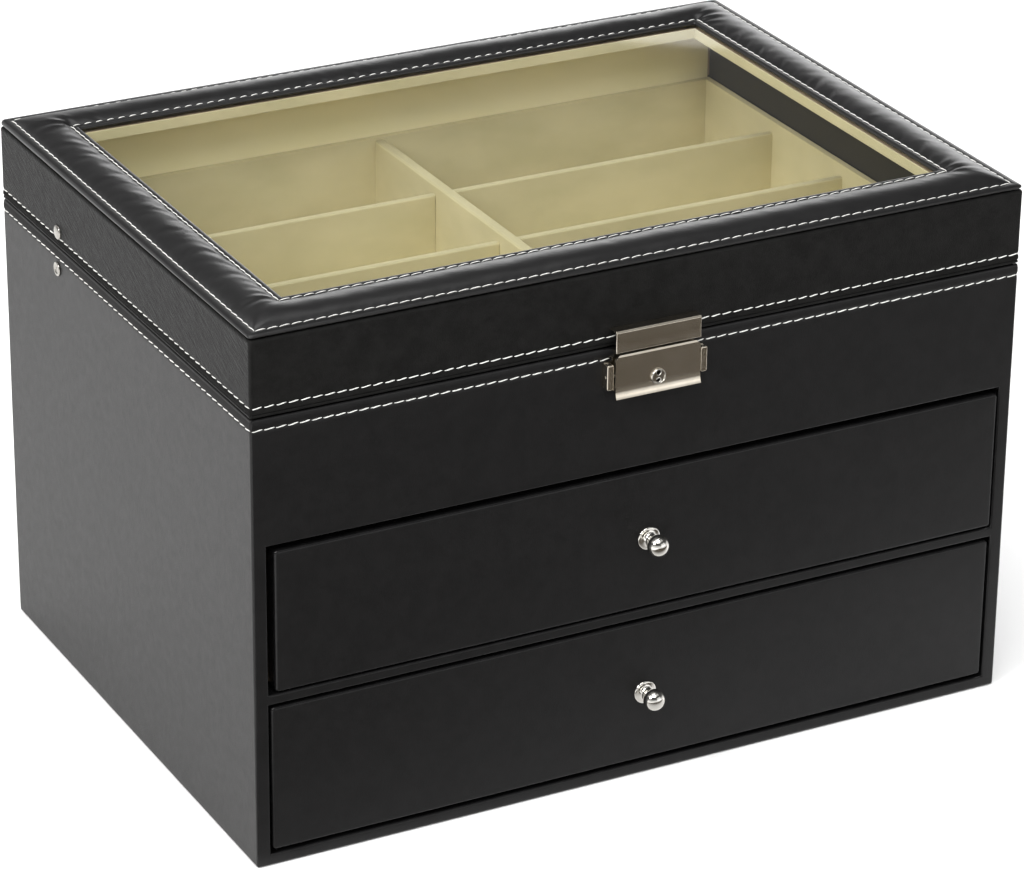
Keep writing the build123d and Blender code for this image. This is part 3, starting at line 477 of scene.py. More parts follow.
def lining(name):
    """Thin black woven-backed lining with a fine linen emboss."""
    g = Graph(name)
    warp = g.noise(1.0, 2.0, 0.5, g.stretch((2600.0, 2600.0, 500.0)))
    weft = g.noise(1.0, 2.0, 0.5, g.stretch((500.0, 500.0, 2600.0)))
    h = g.math("ADD", warp, weft)
    tone = g.mix(g.span(h, 0.8, 1.2, 0.0, 1.0), rgb(0.016, 0.015, 0.013), rgb(0.029, 0.027, 0.024))
    p = g.n("ShaderNodeBsdfPrincipled", None,
            {"Base Color": tone, "Roughness": g.span(h, 0.8, 1.2, 0.5, 0.66), "Normal": g.bump(h, 0.5, 0.08)})
    p.inputs["Specular IOR Level"].default_value = 0.35
    return g.surface(p)


def pane(name):
    """Clear flat glass: sight goes straight through, with a mirror share by angle."""
    g = Graph(name)
    faint = g.noise(30.0, 2.0, 0.5)
    tint = g.mix(g.span(faint, 0.3, 0.7, 0.0, 1.0), rgb(0.965, 0.975, 0.965), rgb(0.985, 0.99, 0.985))
    clear = g.n("ShaderNodeBsdfTransparent", None, {"Color": tint})
    shine = g.n("ShaderNodeBsdfGlossy", None, {"Color": rgb(1, 1, 1), "Roughness": 0.03})
    fres = g.n("ShaderNodeFresnel", None, {"IOR": 1.45})
    side = g.n("ShaderNodeNewGeometry").outputs["Backfacing"]
    share = g.math("MULTIPLY", fres.outputs[0], g.math("SUBTRACT", 1.0, side))
    m = g.n("ShaderNodeMixShader", None, {0: share, 1: clear.outputs[0], 2: shine.outputs[0]})
    return g.surface(m, "Shader")


SKIN = leather("leatherette_body", (0.0085, 0.0080, 0.0079), (0.0120, 0.0114, 0.0112), 0.43, 0.26, 0.42,
               band=(184.6, 188.0))
SKIN_LID = leather("leatherette_lid", (0.0056, 0.0055, 0.0052), (0.0090, 0.0088, 0.0084), 0.47, 0.105, 0.80,
                   streak=1.0, streak_rot=(math.radians(-24), 0, 0), mottle=0.03, band=(191.0, 193.0))
SKIN_PAD = leather("leatherette_pad", (0.0068, 0.0066, 0.0068), (0.0094, 0.0092, 0.0094), 0.33, 0.48, 0.20)
SKIN_FRONT = leather("leatherette_front", (0.0048, 0.0047, 0.0049), (0.0070, 0.0068, 0.0070), 0.42, 0.24, 0.28, fold=0.23)
VELVET = velvet("cream_velvet", (0.56, 0.50, 0.30), (0.66, 0.59, 0.37))
# divider velvet with painted shade on its upward-facing tops
VELVET_DIVIDER_SHADED_TOPS = velvet("cream_velvet_divider", (0.56, 0.50, 0.30), (0.66, 0.59, 0.37), crown=0.42)
# the hinge cloth is the tray's cream velvet painted much lighter: painted light on the lid's back wall
VELVET_CLOTH_PAINTED_LIGHT = velvet("cream_hinge_cloth", (0.91, 0.83, 0.52), (0.95, 0.87, 0.58), nap=0.7)
THREAD = thread("white_thread")
NICKEL = metal("satin_nickel", (0.63, 0.573, 0.48), (0.69, 0.633, 0.54), 0.22)
BRIGHT = metal("polished_nickel", (0.70, 0.68, 0.63), (0.80, 0.78, 0.74), 0.11, worn=0.02)
RIVET = metal("rivet_nickel", (0.34, 0.33, 0.30), (0.44, 0.42, 0.39), 0.24, worn=0.04)
# near-black painted shade for the bottoms of the key slot
KEYHOLE_PAINTED_SHADE = metal("keyhole_shade", (0.020, 0.018, 0.015), (0.035, 0.030, 0.026), 0.6)
STEEL = metal("brushed_steel", (0.48, 0.48, 0.47), (0.60, 0.60, 0.59), 0.3, brush=0.3)
BOARD = board("fibre_board")
LINING = lining("black_lining")
FELT = felt("black_felt", (0.012, 0.012, 0.012), (0.03, 0.03, 0.03))
GLASS = pane("window_glass")

PLAIN = {
    BOARD: ["left_side_board", "right_side_board", "back_board", "front_rail_board", "bottom_board",
            "drawer_shelf_board", "tray_floor_board", "lid_left_board", "lid_right_board", "lid_front_board",
            "lid_back_board", "lid_top_frame", "upper_drawer_front_board", "lower_drawer_front_board"],
    STEEL: ["lock_hinge_pins", "lock_spring", "stay_elbow_rivet"],
    GLASS: ["glass_pane"],
    FELT: ["base_felt"],
}
for mat, names in PLAIN.items():
    for n in names:
        o = NODES[n]
        o.data.materials.clear()
        o.data.materials.append(mat)


# ------------------------------------------------------------------ case skins
def case_skins():
    r0 = 1.05
    prof = [(3.9, 0.12), (2.2, 0.12), (1.1, 0.15)]
    prof += [(1.1 - 1.1 * math.sin(t), 1.25 - 1.1 * math.cos(t)) for t in (0.5, 0.9, 1.25)]
    prof += [(0.0, 1.6), (0.0, 3.2)]
    prof += [(0.0, z) for z in np.linspace(5.1, 69.5, 10)]
    prof += [(0.0, z) for z in np.linspace(73.7, 136.2, 10)]
    prof += [(0.0, z) for z in (142, 149, 156, 163, 170, 176, 180, 182.6)]
    prof += [(0.03, 183.3), (0.12, 183.8), (0.28, 184.1), (0.34, 184.3), (0.28, 184.5), (0.12, 184.8), (0.0, 185.2),
             (-0.10, 185.8), (-0.14, 186.5), (-0.10, 187.2), (-0.02, 187.75), (0.05, 188.2), (0.18, 188.6),
             (0.42, 188.83), (0.8, 188.88), (1.6, 188.88), (5.2, 188.88)]
    rad = lambda i: max(r0 - i, 0.10)
    half = HX - r0
    edge = 161.7
    xs = [-1, -0.5 * (half + edge) / half] + list(np.linspace(-edge, edge, 65) / half) + [0.5 * (half + edge) / half, 1]
    ys = spread(5.0, HY - r0)
    n_arc = 5
    grid = rings(prof, rad, xs, ys, n_arc)
    rows, cols = grid.shape[:2]
    flat = grid.reshape(-1, 3)
    nx, ny = len(xs), len(ys)
    first = nx + 2                       # half way round each corner
    second = nx + n_arc + ny + 2
    third = nx + n_arc + ny + n_arc + nx + 2
    fourth = cols - 3
    bm = bmesh.new()
    vs = [bm.verts.new(p) for p in flat]
    for f in ring_faces(rows, cols):
        m = f[0] % cols
        label = 0 if m < first or m >= fourth else 1 if m < second else 2 if m < third else 3
        c = flat[list(f)].mean(axis=0)
        if label == 0 and c[1] < -121.4 and abs(c[0]) < edge and (5.1 < c[2] < 69.5 or 73.7 < c[2] < 136.2):
            continue
        bm.faces.new([vs[k] for k in f]).material_index = label
    bmesh.ops.delete(bm, geom=[v for v in bm.verts if not v.link_faces], context="VERTS")
    on_front = lambda e: all(abs(v.co.y + HY) < 1e-4 and 5.0 < v.co.z < 136.3 and abs(v.co.x) < edge + 0.01 for v in e.verts)
    rim = [e for e in bm.edges if e.is_boundary and on_front(e)]
    made = bmesh.ops.extrude_edge_only(bm, edges=rim)["geom"]
    for g in made:
        if isinstance(g, bmesh.types.BMVert):
            g.co.y += 11.0
        if isinstance(g, bmesh.types.BMFace):
            g.material_index = 0
    bmesh.ops.recalc_face_normals(bm, faces=bm.faces)
    if next(f for f in bm.faces if f.material_index == 1 and abs(f.calc_center_median().z - 100) < 10).normal.x < 0:
        bmesh.ops.reverse_faces(bm, faces=bm.faces[:])
    bm.normal_update()
    corner = [e for e in bm.edges if len(e.link_faces) == 2 and on_front(e)
              and abs(e.link_faces[0].normal.dot(e.link_faces[1].normal)) < 0.5]
    bmesh.ops.bevel(bm, geom=corner, offset=0.8, offset_type="OFFSET", segments=3, profile=0.5,
                    affect="EDGES", clamp_overlap=True, material=0)
    bm.verts.index_update()
    co = np.array([v.co for v in bm.verts], float)
    faces = [[v.index for v in f.verts] for f in bm.faces]
    labels = [f.material_index for f in bm.faces]
    bm.free()
    no = area_normals(co, faces)
    shift = 0.05 * wob(co, 60, 3) + 0.02 * wob(co, 15, 4)
    shift *= np.clip((co[:, 2] - 1.5) / 6, 0, 1)
    co = co + no * shift[:, None]
    no = area_normals(co, faces)
    names = {0: ("front_leather_wrap", "front_leather", SKIN_FRONT), 1: ("right_side_leather_wrap", "right_side_leather", SKIN),
             2: ("back_leather_wrap", "back_leather", SKIN), 3: ("left_side_leather_wrap", "left_side_leather", SKIN)}
    for label, (name, node, mat) in names.items():
        used, mine = {}, []
        for f, k in zip(faces, labels):
            if k == label:
                mine.append([used.setdefault(i, len(used)) for i in f])
        order = list(used)
        done(shell(name, co[order], no[order], mine, 0.4, mat), "case", [node])


case_skins()


# ------------------------------------------------------------------ lid skin
def lid_skin():
    prof = [(5.2, 189.42), (1.6, 189.42), (0.85, 189.42), (0.42, 189.48), (0.14, 189.66), (0.0, 189.92), (-0.02, 190.2),
            (0.06, 190.46), (0.26, 190.66), (0.52, 190.76), (0.28, 190.88), (0.06, 191.02), (-0.07, 191.24),
            (-0.14, 191.6), (-0.13, 192.1), (-0.05, 192.5), (0.12, 192.9), (0.28, 193.2), (0.34, 193.4), (0.28, 193.6),
            (0.12, 193.9), (0.03, 194.4), (0.0, 195.2), (0.0, 198.0), (0.0, 202.0), (0.0, 206.0), (0.0, 210.0),
            (0.0, 213.5), (0.0, 216.4), (0.0, 218.2), (-0.05, 218.8), (-0.07, 219.3), (0.0, 219.75), (0.18, 220.14),
            (0.46, 220.44), (0.85, 220.62), (1.4, 220.68), (2.0, 220.66), (4.7, 220.3)]
    rad = lambda i: max(1.15 - i, 0.10)
    grid = rings(prof, rad, spread(4.0, HX), spread(4.0, HY), 5)
    rows, cols = grid.shape[:2]
    p, faces = grid.reshape(-1, 3), ring_faces(rows, cols)
    no = area_normals(p, faces)
    p = p + no * (0.05 * wob(p, 45, 8) + 0.03 * wob(p, 11, 9))[:, None]
    return done(shell("lid_leather_wrap", p, area_normals(p, faces), faces, 0.4, SKIN_LID), "lid",
                ["lid_leather"])


lid_skin()

# ------------------------------------------------------------------ padded frame
PAD_A, PAD_B = 3.8, 22.0            # insets of the two stitch lines
PAD_ZA, PAD_ZB = 222.50, 224.10     # heights of the leather along them


def rise(y):
    """The stuffed edge is a little thicker towards the back."""
    t = np.clip((np.asarray(y, float) + HY) / (2 * HY), 0, 1)
    return 0.95 * t * t * (3 - 2 * t)


def pad_creases():
    """Creases drawn in by the stitching: (start x, start y, direction x, y, length, width, depth)."""
    rng = np.random.RandomState(21)
    out = []
    ix, iy = HX - PAD_B, HY - PAD_B
    for sx in (-1, 1):
        for sy in (-1, 1):
            out.append((sx * ix, sy * iy, sx * 1.0, sy * 0.06, 19.0, 1.5, 0.62))
            out.append((sx * (ix - 2.0), sy * (iy + 0.3), sx * 0.80, sy * 0.60, 14.0, 1.7, 0.34))
            out.append((sx * (ix + 0.3), sy * (iy - 3.0), sx * 0.93, sy * -0.36, 12.0, 1.5, 0.30))
            out.append((sx * (ix + 0.2), sy * (iy - 8.0), sx * 0.84, sy * -0.54, 11.0, 1.4, 0.24))
    for sx, share in ((-1, 1.0), (1, 0.7)):
        y = -iy + 14
        while y < iy - 8:
            lean = rng.uniform(1.0, 2.6)
            out.append((sx * ix, y, sx * 1.0, lean, rng.uniform(10, 19), rng.uniform(1.0, 1.9), share * rng.uniform(0.14, 0.42)))
            y += rng.uniform(5.0, 15)
    for sy, share in ((-1, 0.5), (1, 0.6)):
        x = -ix + 14
        while x < ix - 10:
            lean = rng.uniform(-2.6, 2.6)
            out.append((x, sy * iy, lean, sy * 1.0, rng.uniform(7, 14), rng.uniform(1.0, 1.8), share * rng.uniform(0.10, 0.34)))
            x += rng.uniform(8, 22)
    return out


def crease_depth(x, y, creases):
    out = np.zeros_like(x)
    for sx, sy, dx, dy, length, width, depth in creases:
        n = math.hypot(dx, dy)
        dx, dy = dx / n, dy / n
        along = (x - sx) * dx + (y - sy) * dy
        across = -(x - sx) * dy + (y - sy) * dx
        near = (along > -2) & (along < length) & (np.abs(across) < 4 * width)
        if not near.any():
            continue
        a, c = along[near] / length, across[near] + 0.9 * np.sin(along[near] / length * 2.4)
        fade = np.clip(a / 0.12 + 0.15, 0, 1) * np.clip(1 - a, 0, 1) ** 1.3
        w = width * (0.75 + 0.8 * np.clip(a, 0, 1))
        out[near] += depth * fade * (-np.exp(-(c / w) ** 2) + 0.55 * np.exp(-((np.abs(c) - 1.9 * w) / w) ** 2))
    return out


def pad_surface(x, y, real_inset):
    """Height of the stuffed leather between the two stitch lines."""
    ix, iy = HX - np.abs(x), HY - np.abs(y)
    t = np.clip((real_inset - PAD_A) / (PAD_B - PAD_A), 0, 1)
    k = 8.0 * 4 * t * (1 - t) + 1e-6
    hh = np.clip(k - np.abs(ix - iy), 0, None) / k
    eff = np.minimum(ix, iy) - hh * hh * k * 0.25
    te = np.clip((eff - PAD_A) / (PAD_B - PAD_A), 0, 1)
    te = np.where((t > 0) & (t < 1), te, t)
    side = 1 / (1 + np.exp((ix - iy) / 3.0))
    skew = -0.30 * side * (x < 0) + (1 - side) * (y < 0)
    te = te + 0.36 * te * (1 - te) * skew
    lift = (4 * te * (1 - te)) ** (0.80 + 0.14 * te)
    near = np.exp(-(np.abs(ix - iy) / 11.0) ** 2)
    za = PAD_ZA + rise(y)
    z = za + (PAD_ZB - za) * t + 2.42 * lift * (1 + 0.18 * near)
    return z, lift


def stuffed(strip):
    """Cloth simulation of the cover between its two stitch lines: held along both, cut a
    little too large, and blown up gently by the filling, so that it puckers by itself."""
    rows, cols = strip.shape[:2]
    unit = 0.02                        # 50 mm to one unit, a size that the solver likes
    flat = strip.reshape(-1, 3)
    me = bpy.data.meshes.new("cover_trial")
    me.from_pydata([tuple(map(float, v)) for v in flat * unit], [], ring_faces(rows, cols))
    me.update()
    if sum(q.normal.z for q in me.polygons) < 0:
        me.flip_normals()
    ob = link(bpy.data.objects.new("cover_trial", me))
    held = ob.vertex_groups.new(name="held")
    held.add(list(range(cols)) + list(range((rows - 1) * cols, rows * cols)), 1.0, "REPLACE")
    held.add(list(range(cols, 2 * cols)) + list(range((rows - 2) * cols, (rows - 1) * cols)), 0.6, "REPLACE")
    last = 22
    m = ob.modifiers.new("cloth", "CLOTH")
    c = m.settings
    c.quality = 5
    c.mass = 0.25
    c.tension_stiffness = c.compression_stiffness = 18.0
    c.shear_stiffness = 7.0
    c.bending_stiffness = 1.2
    c.tension_damping = c.compression_damping = c.shear_damping = 12.0
    c.air_damping = 4.0
    c.vertex_group_mass = "held"
    c.shrink_min = c.shrink_max = -0.006
    c.use_pressure = True
    c.uniform_pressure_force = 0.35
    c.effector_weights.gravity = 0.0
    m.collision_settings.use_collision = False
    m.collision_settings.use_self_collision = False
    m.point_cache.frame_start, m.point_cache.frame_end = 1, last
    for f in range(1, last + 1):
        SC.frame_set(f)
    bpy.context.view_layer.update()
    dg = bpy.context.evaluated_depsgraph_get()
    got = ob.evaluated_get(dg).data
    co = np.empty(len(flat) * 3, np.float32)
    got.vertices.foreach_get("co", co)
    move = co.reshape(-1, 3).astype(float) / unit - flat
    bpy.data.objects.remove(ob)
    bpy.data.meshes.remove(me)
    SC.frame_set(1)
    if not np.isfinite(move).all():
        return strip
    move = move.reshape(rows, cols, 3)
    move[:, :, 2] -= move[:, :, 2].mean(axis=1, keepdims=True)      # keep the mean section, take the puckers
    ix, iy = HX - np.abs(strip[:, :, 0]), HY - np.abs(strip[:, :, 1])
    inner = np.clip((np.minimum(ix, iy) - PAD_A) / (PAD_B - PAD_A), 0, 1)
    side = 1 / (1 + np.exp((ix - iy) / 4.0))
    gain = (0.08 + 0.34 * inner ** 1.3) * (0.35 + 0.65 * side * np.where(strip[:, :, 0] < 0, 1.0, 0.55))
    move *= gain[:, :, None]
    size = np.linalg.norm(move, axis=2, keepdims=True)
    move *= 0.30 / np.maximum(size, 0.30)
    return strip + move


def padded_frame():
    outer = [(1.4, 221.34), (0.8, 221.34), (0.45, 221.36), (0.24, 221.46), (0.13, 221.65), (0.12, 221.9), (0.2, 222.15),
             (0.42, 222.38), (0.8, 222.56), (1.4, 222.68), (2.1, 222.76), (2.7, 222.78), (3.2, 222.75), (3.55, 222.66)]
    crown = [3.8, 4.05, 4.4, 4.85, 5.4, 6.0, 6.7, 7.5, 8.4, 9.3, 10.3, 11.3, 12.3, 13.3, 14.3, 15.3, 16.2, 17.1, 18.0,
             18.8, 19.5, 20.1, 20.6, 21.05, 21.45, 21.75, 22.0]
    inner = [(22.2, 224.17), (22.45, 224.36), (22.9, 224.5), (23.6, 224.5), (24.2, 224.35), (24.6, 224.05),
             (24.78, 223.6), (24.8, 223.1), (24.7, 222.86), (22.5, 222.84), (19.5, 222.84), (19.5, 221.34),
             (12.0, 221.34), (5.0, 221.34)]
    prof = outer + [(i, 0.0) for i in crown] + inner
    rad = lambda i: max(1.8 - 0.28 * i, 0.75) if i < 20 else 0.75
    step = 1.15
    grid = rings(prof, rad, spread(step, HX - 12), spread(step, HY - 12), 7)
    rows, cols = grid.shape[:2]
    a, b = len(outer), len(outer) + len(crown)
    creases = pad_creases()
    for r in range(a):
        grid[r, :, 2] += rise(grid[r, :, 1]) * np.clip((grid[r, :, 2] - 221.34) / 1.2, 0, 1)
    for r in range(a, b):
        i = prof[r][0]
        x, y = grid[r, :, 0], grid[r, :, 1]
        z, lift = pad_surface(x, y, np.full_like(x, i))
        grid[r, :, 2] = z
    # pull of each stitch, both sides of both lines
    for r in range(rows):
        i, x, y = prof[r][0], grid[r, :, 0], grid[r, :, 1]
        top = a - 4 <= r < b + 5
        if not top:
            continue
        step_xy = np.hypot(np.diff(x, append=x[0]), np.diff(y, append=y[0]))
        s = np.concatenate([[0], np.cumsum(step_xy)[:-1]])
        total = step_xy.sum()
        n = round(total / 4.9)
        for line, amp in ((PAD_A, 0.13), (PAD_B, 0.13)):
            d = abs(i - line)
            grid[r, :, 2] -= amp * math.exp(-(d / 1.5) ** 2) * (0.5 + 0.5 * np.cos(2 * np.pi * n * s / total))
    mid = grid[a - 4:b + 5].reshape(-1, 3)
    dz = crease_depth(mid[:, 0], mid[:, 1], creases)
    dz += 0.10 * wob(mid * [1, 1, 0], 16, 31) + 0.045 * wob(mid * [1, 1, 0], 5.5, 32)
    ins = np.minimum(HX - np.abs(mid[:, 0]), HY - np.abs(mid[:, 1]))
    soft = np.clip((ins - 3.4) / 2.0, 0.15, 1) * np.clip((22.6 - ins) / 0.9, 0.1, 1)
    mid[:, 2] += dz * soft
    grid[a - 4:b + 5] = mid.reshape(-1, cols, 3)
    grid[a:b] = stuffed(grid[a:b])
    ob = mesh_object("padded_frame_cover", grid.reshape(-1, 3), ring_faces(rows, cols, closed=True), SKIN_PAD)
    done(ob, "lid", ["padded_frame"])
    return grid, prof, a, b


PAD_GRID, PAD_PROF, PAD_R0, PAD_R1 = padded_frame()


# ------------------------------------------------------------------ stitching
def evenly(path, pitch):
    """Points and tangents along a closed path, evenly spaced near the pitch."""
    path = np.asarray(path, float)
    nxt = np.roll(path, -1, axis=0)
    seg = np.linalg.norm(nxt - path, axis=1)
    s = np.concatenate([[0], np.cumsum(seg)])
    n = int(round(s[-1] / pitch))
    at = (np.arange(n) + 0.5) * s[-1] / n
    k = np.clip(np.searchsorted(s, at, side="right") - 1, 0, len(path) - 1)
    f = ((at - s[k]) / np.maximum(seg[k], 1e-9))[:, None]
    p = path[k] * (1 - f) + nxt[k] * f
    t = (nxt[k] - path[k]) / np.maximum(seg[k], 1e-9)[:, None]
    return p, t


def stitch_mesh(name, items, body, radius=0.27, seed=5):
    """items: (centre, along, outward, slant in degrees, length). Each stitch is one arched,
    twisted strand that dives into the leather at both ends."""
    rng = np.random.RandomState(seed)
    ns, nr = 11, 8
    u = np.linspace(-1, 1, ns)
    verts, faces = [], []
    for c, t, nrm, slant, length in items:
        t = t - nrm * np.dot(t, nrm)
        t /= np.linalg.norm(t)
        side = np.cross(nrm, t)
        a = math.radians(slant + rng.normal(0, 1.1))
        d = t * math.cos(a) + side * math.sin(a)
        w = np.cross(nrm, d)
        half = length / 2 * (1 + rng.normal(0, 0.012))
        r0 = radius * (1 + rng.normal(0, 0.05))
        base = len(verts)
        ph = rng.rand() * 6.28
        for k in range(ns):
            lift = 0.30 * (1 - abs(u[k]) ** 4.0) - 0.14
            rr = r0 * (1 - 0.62 * abs(u[k]) ** 3.2) * (1 + 0.10 * u[k])
            ctr = c + d * (half * u[k]) + nrm * lift + w * (0.07 * math.sin(2.6 * u[k]))
            for j in range(nr):
                th = 2 * math.pi * j / nr
                q = rr * (1 + 0.10 * math.cos(2 * th - 5.0 * u[k] + ph))
                verts.append(ctr + w * (q * math.cos(th)) + nrm * (q * 0.82 * math.sin(th)))
        for k in range(ns - 1):
            for j in range(nr):
                m = (j + 1) % nr
                faces.append((base + k * nr + j, base + k * nr + m, base + (k + 1) * nr + m, base + (k + 1) * nr + j))
        faces.append(tuple(base + j for j in reversed(range(nr))))
        faces.append(tuple(base + (ns - 1) * nr + j for j in range(nr)))
    ob = mesh_object(name, verts, faces, THREAD)
    bm = bmesh.new()
    bm.from_mesh(ob.data)
    bmesh.ops.recalc_face_normals(bm, faces=bm.faces)
    bm.to_mesh(ob.data)
    bm.free()
    return done(ob, body)


def run_of_stitches(p0, p1, nrm, slant=4.0, fill=0.94):
    p0, p1, nrm = (np.array(k, float) for k in (p0, p1, nrm))
    length = np.linalg.norm(p1 - p0)
    d = (p1 - p0) / length
    n = int(round(length / 4.9))
    return [(p0 + d * length * (k + 0.5) / n, d, nrm, slant, fill * length / n) for k in range(n)]


def wall_rows(z, gap):
    """Four straight rows that meet at the corners; the front one stops beside the lock."""
    i, e = 0.34, 0.55
    a, b = HX - i, HY - i
    out = run_of_stitches((-HX + e, -b, z), (LX - gap, -b, z), (0, -1, 0))
    out += run_of_stitches((LX + gap, -b, z), (HX - e, -b, z), (0, -1, 0))
    out += run_of_stitches((a, -HY + e, z), (a, HY - e, z), (1, 0, 0))
    out += run_of_stitches((HX - e, b, z), (-HX + e, b, z), (0, 1, 0))
    out += run_of_stitches((-a, HY - e, z), (-a, -HY + e, z), (-1, 0, 0))
    return out


def pad_row(row, lift, fills):
    """Four rows along one loop of the padded frame, corner to corner."""
    loop = np.array(PAD_GRID[row])
    x, y = loop[:, 0].max(), loop[:, 1].max()
    e = 0.15
    up = (0, 0, 1)
    out = run_of_stitches((-x + e, -y, 0), (x - e, -y, 0), up, fill=fills[0])
    out += run_of_stitches((x, -y + e, 0), (x, y - e, 0), up, fill=fills[1])
    out += run_of_stitches((x - e, y, 0), (-x + e, y, 0), up, fill=fills[2])
    out += run_of_stitches((-x, y - e, 0), (-x, -y + e, 0), up, fill=fills[3])
    base = PAD_ZA if row == PAD_R0 else PAD_ZB
    for k, (c, d, n, slant, length) in enumerate(out):
        c[2] = base + lift + (rise(c[1]) if row == PAD_R0 else 0.0)
        q = c + d * 1e-3
        if row == PAD_R0:
            d = d + np.array([0, 0, float(rise(q[1]) - rise(c[1])) / 1e-3])
        out[k] = (c, d / np.linalg.norm(d), n, slant, length)
    return out


stitch_mesh("lid_frame_stitching_outer", pad_row(PAD_R0, 0.12, (0.94, 0.92, 0.72, 0.96)), "lid", seed=5, radius=0.22)
stitch_mesh("lid_frame_stitching_inner", pad_row(PAD_R1 - 1, 0.24, (0.94, 0.92, 0.64, 0.95)), "lid", seed=6, radius=0.22)
stitch_mesh("lid_wall_stitching", wall_rows(193.4, 15.6), "lid", seed=7, radius=0.24)
stitch_mesh("case_stitching", wall_rows(184.3, 18.3), "case", seed=8, radius=0.24)

# ------------------------------------------------------------------ drawers
def drawer_front(name, x0, x1, z0, z1):
    y_in, yf = -HY + 9.2, -HY
    cx, cz, a, b = (x0 + x1) / 2, (z0 + z1) / 2, (x1 - x0) / 2, (z1 - z0) / 2
    r = 1.25
    prof = [(1.2, y_in), (0.0, y_in), (0.0, y_in - 2.5), (0.0, yf + r + 0.6)]
    prof += [(r - r * math.cos(t), yf + r - r * math.sin(t)) for t in np.linspace(0.12, math.pi / 2, 7)]
    prof += [(r + 0.8, yf - 0.02), (4.2, yf - 0.05), (7.0, yf - 0.08), (11.0, yf - 0.10), (16.0, yf - 0.11),
             (22.0, yf - 0.11), (b - 0.7, yf - 0.11)]
    xs, zs = spread(5.0, a), spread(4.0, b)
    loops = []
    for i, y in prof:
        rr = max(1.5 - i, 0.25)
        loops.append([(cx + u, y, cz + v) for u, v in plan(a - i, b - i, rr, xs, zs, 4)])
    grid = np.array(loops)
    rows, cols = grid.shape[:2]
    p = grid.reshape(-1, 3)
    faces = ring_faces(rows, cols)
    faces.append(tuple((rows - 1) * cols + m for m in range(cols)))
    seed = 41 if name == "upper" else 47
    p = p + area_normals(p, faces) * (0.05 * wob(p, 60, seed) + 0.02 * wob(p, 14, seed + 1))[:, None]
    ob = shell(name + "_drawer_front_wrap", p, area_normals(p, faces), faces, 0.45, SKIN_FRONT)
    return done(ob, name + "_drawer", [name + "_drawer_front_leather"])


drawer_front("upper", -158.6, 161.3, 74.3, 133.7)
drawer_front("lower", -160.7, 160.7, 6.5, 68.1)


def knob(name):
    z = KZ[name]
    prof = [(1.55, 0.0), (4.6, 0.0), (4.82, 0.10), (4.92, 0.35), (4.88, 0.62), (4.66, 0.88), (4.3, 1.02), (3.6, 1.14),
            (3.05, 1.30), (2.62, 1.62), (2.3, 2.1), (2.12, 2.7), (2.08, 3.2), (2.16, 3.55), (2.42, 3.72), (2.66, 3.9),
            (2.74, 4.12), (2.66, 4.34), (2.46, 4.5)]
    prof += [(4.5 * math.sin(t), 7.9 - 4.1 * math.cos(t)) for t in np.linspace(math.radians(36), math.pi, 30)[:-1]]
    prof += [(0.0, 12.0)]
    ob = lathe(name + "_drawer_knob_turned", prof, (KX, -HY, z), (0, -1, 0), BRIGHT, n=80, sharp=50)
    return done(ob, name + "_drawer", [name + "_drawer_knob"])


for d in ("upper", "lower"):
    knob(d)
    for part in ("sides", "back", "bottom"):
        refine(d + "_drawer_" + part, LINING, bevel=0.35, seg=3)
    refine(d + "_drawer_lining", VELVET, bevel=0.35, seg=3)
    refine(d + "_drawer_dividers", VELVET, bevel=0.7, seg=4)
    refine(d + "_drawer_knob_screw", STEEL, bevel=0.12, seg=2)

# ------------------------------------------------------------------ tray and lid inside
for n in ("tray_centre_divider", "tray_cross_divider_front", "tray_cross_divider_middle", "tray_cross_divider_rear"):
    refine(n, VELVET_DIVIDER_SHADED_TOPS, bevel=0.15, seg=5, crest=1.35)
refine("tray_liner", VELVET, bevel=0.8, seg=4)
refine("tray_floor_velvet", VELVET, bevel=0.3, seg=2)
refine("window_trim", VELVET, bevel=0.22, seg=2)
refine("lid_lining", LINING, bevel=0.12, seg=2)


def hinge_cloth():
    """One length of cloth from behind the tray liner, over the seam and up the lid's back wall."""
    zs = list(np.arange(165.0, 187.0, 2.2)) + list(np.arange(187.0, 192.4, 0.3)) + list(np.arange(192.6, 216.9, 2.2)) + [216.75]
    xs = np.linspace(-161.4, 161.4, 90)
    front, back = [], []
    for z in zs:
        t = min(max((z - 188.0) / 2.4, 0), 1)
        t = t * t * (3 - 2 * t)
        y = 115.98 + 0.42 * t
        w = wob(np.array([(x, 0, z) for x in xs]), 26, 61) * 0.05
        front.append([(x, y - 0.15 + w[k], z) for k, x in enumerate(xs)])
        back.append([(x, y + 0.14 + w[k], z) for k, x in enumerate(xs)])
    f, b = np.array(front), np.array(back)
    rows, cols = f.shape[:2]
    n = rows * cols
    verts = np.concatenate([f.reshape(-1, 3), b.reshape(-1, 3)])
    faces = []
    for r in range(rows - 1):
        for c in range(cols - 1):
            q = (r * cols + c, r * cols + c + 1, (r + 1) * cols + c + 1, (r + 1) * cols + c)
            faces.append(q)
            faces.append(tuple(n + k for k in reversed(q)))
    for c in range(cols - 1):
        faces.append((c + 1, c, n + c, n + c + 1))
        e = (rows - 1) * cols
        faces.append((e + c, e + c + 1, n + e + c + 1, n + e + c))
    for r in range(rows - 1):
        faces.append((r * cols, (r + 1) * cols, n + (r + 1) * cols, n + r * cols))
        e = cols - 1
        faces.append(((r + 1) * cols + e, r * cols + e, n + r * cols + e, n + (r + 1) * cols + e))
    ob = mesh_object("hinge_cloth", verts, faces, VELVET_CLOTH_PAINTED_LIGHT, sharp=60)
    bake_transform(ob)
    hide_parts("hinge_cloth_lower", "hinge_cloth_upper")


hinge_cloth()

# ------------------------------------------------------------------ lock, stay, rivets
LIP_FOLD = 172.0


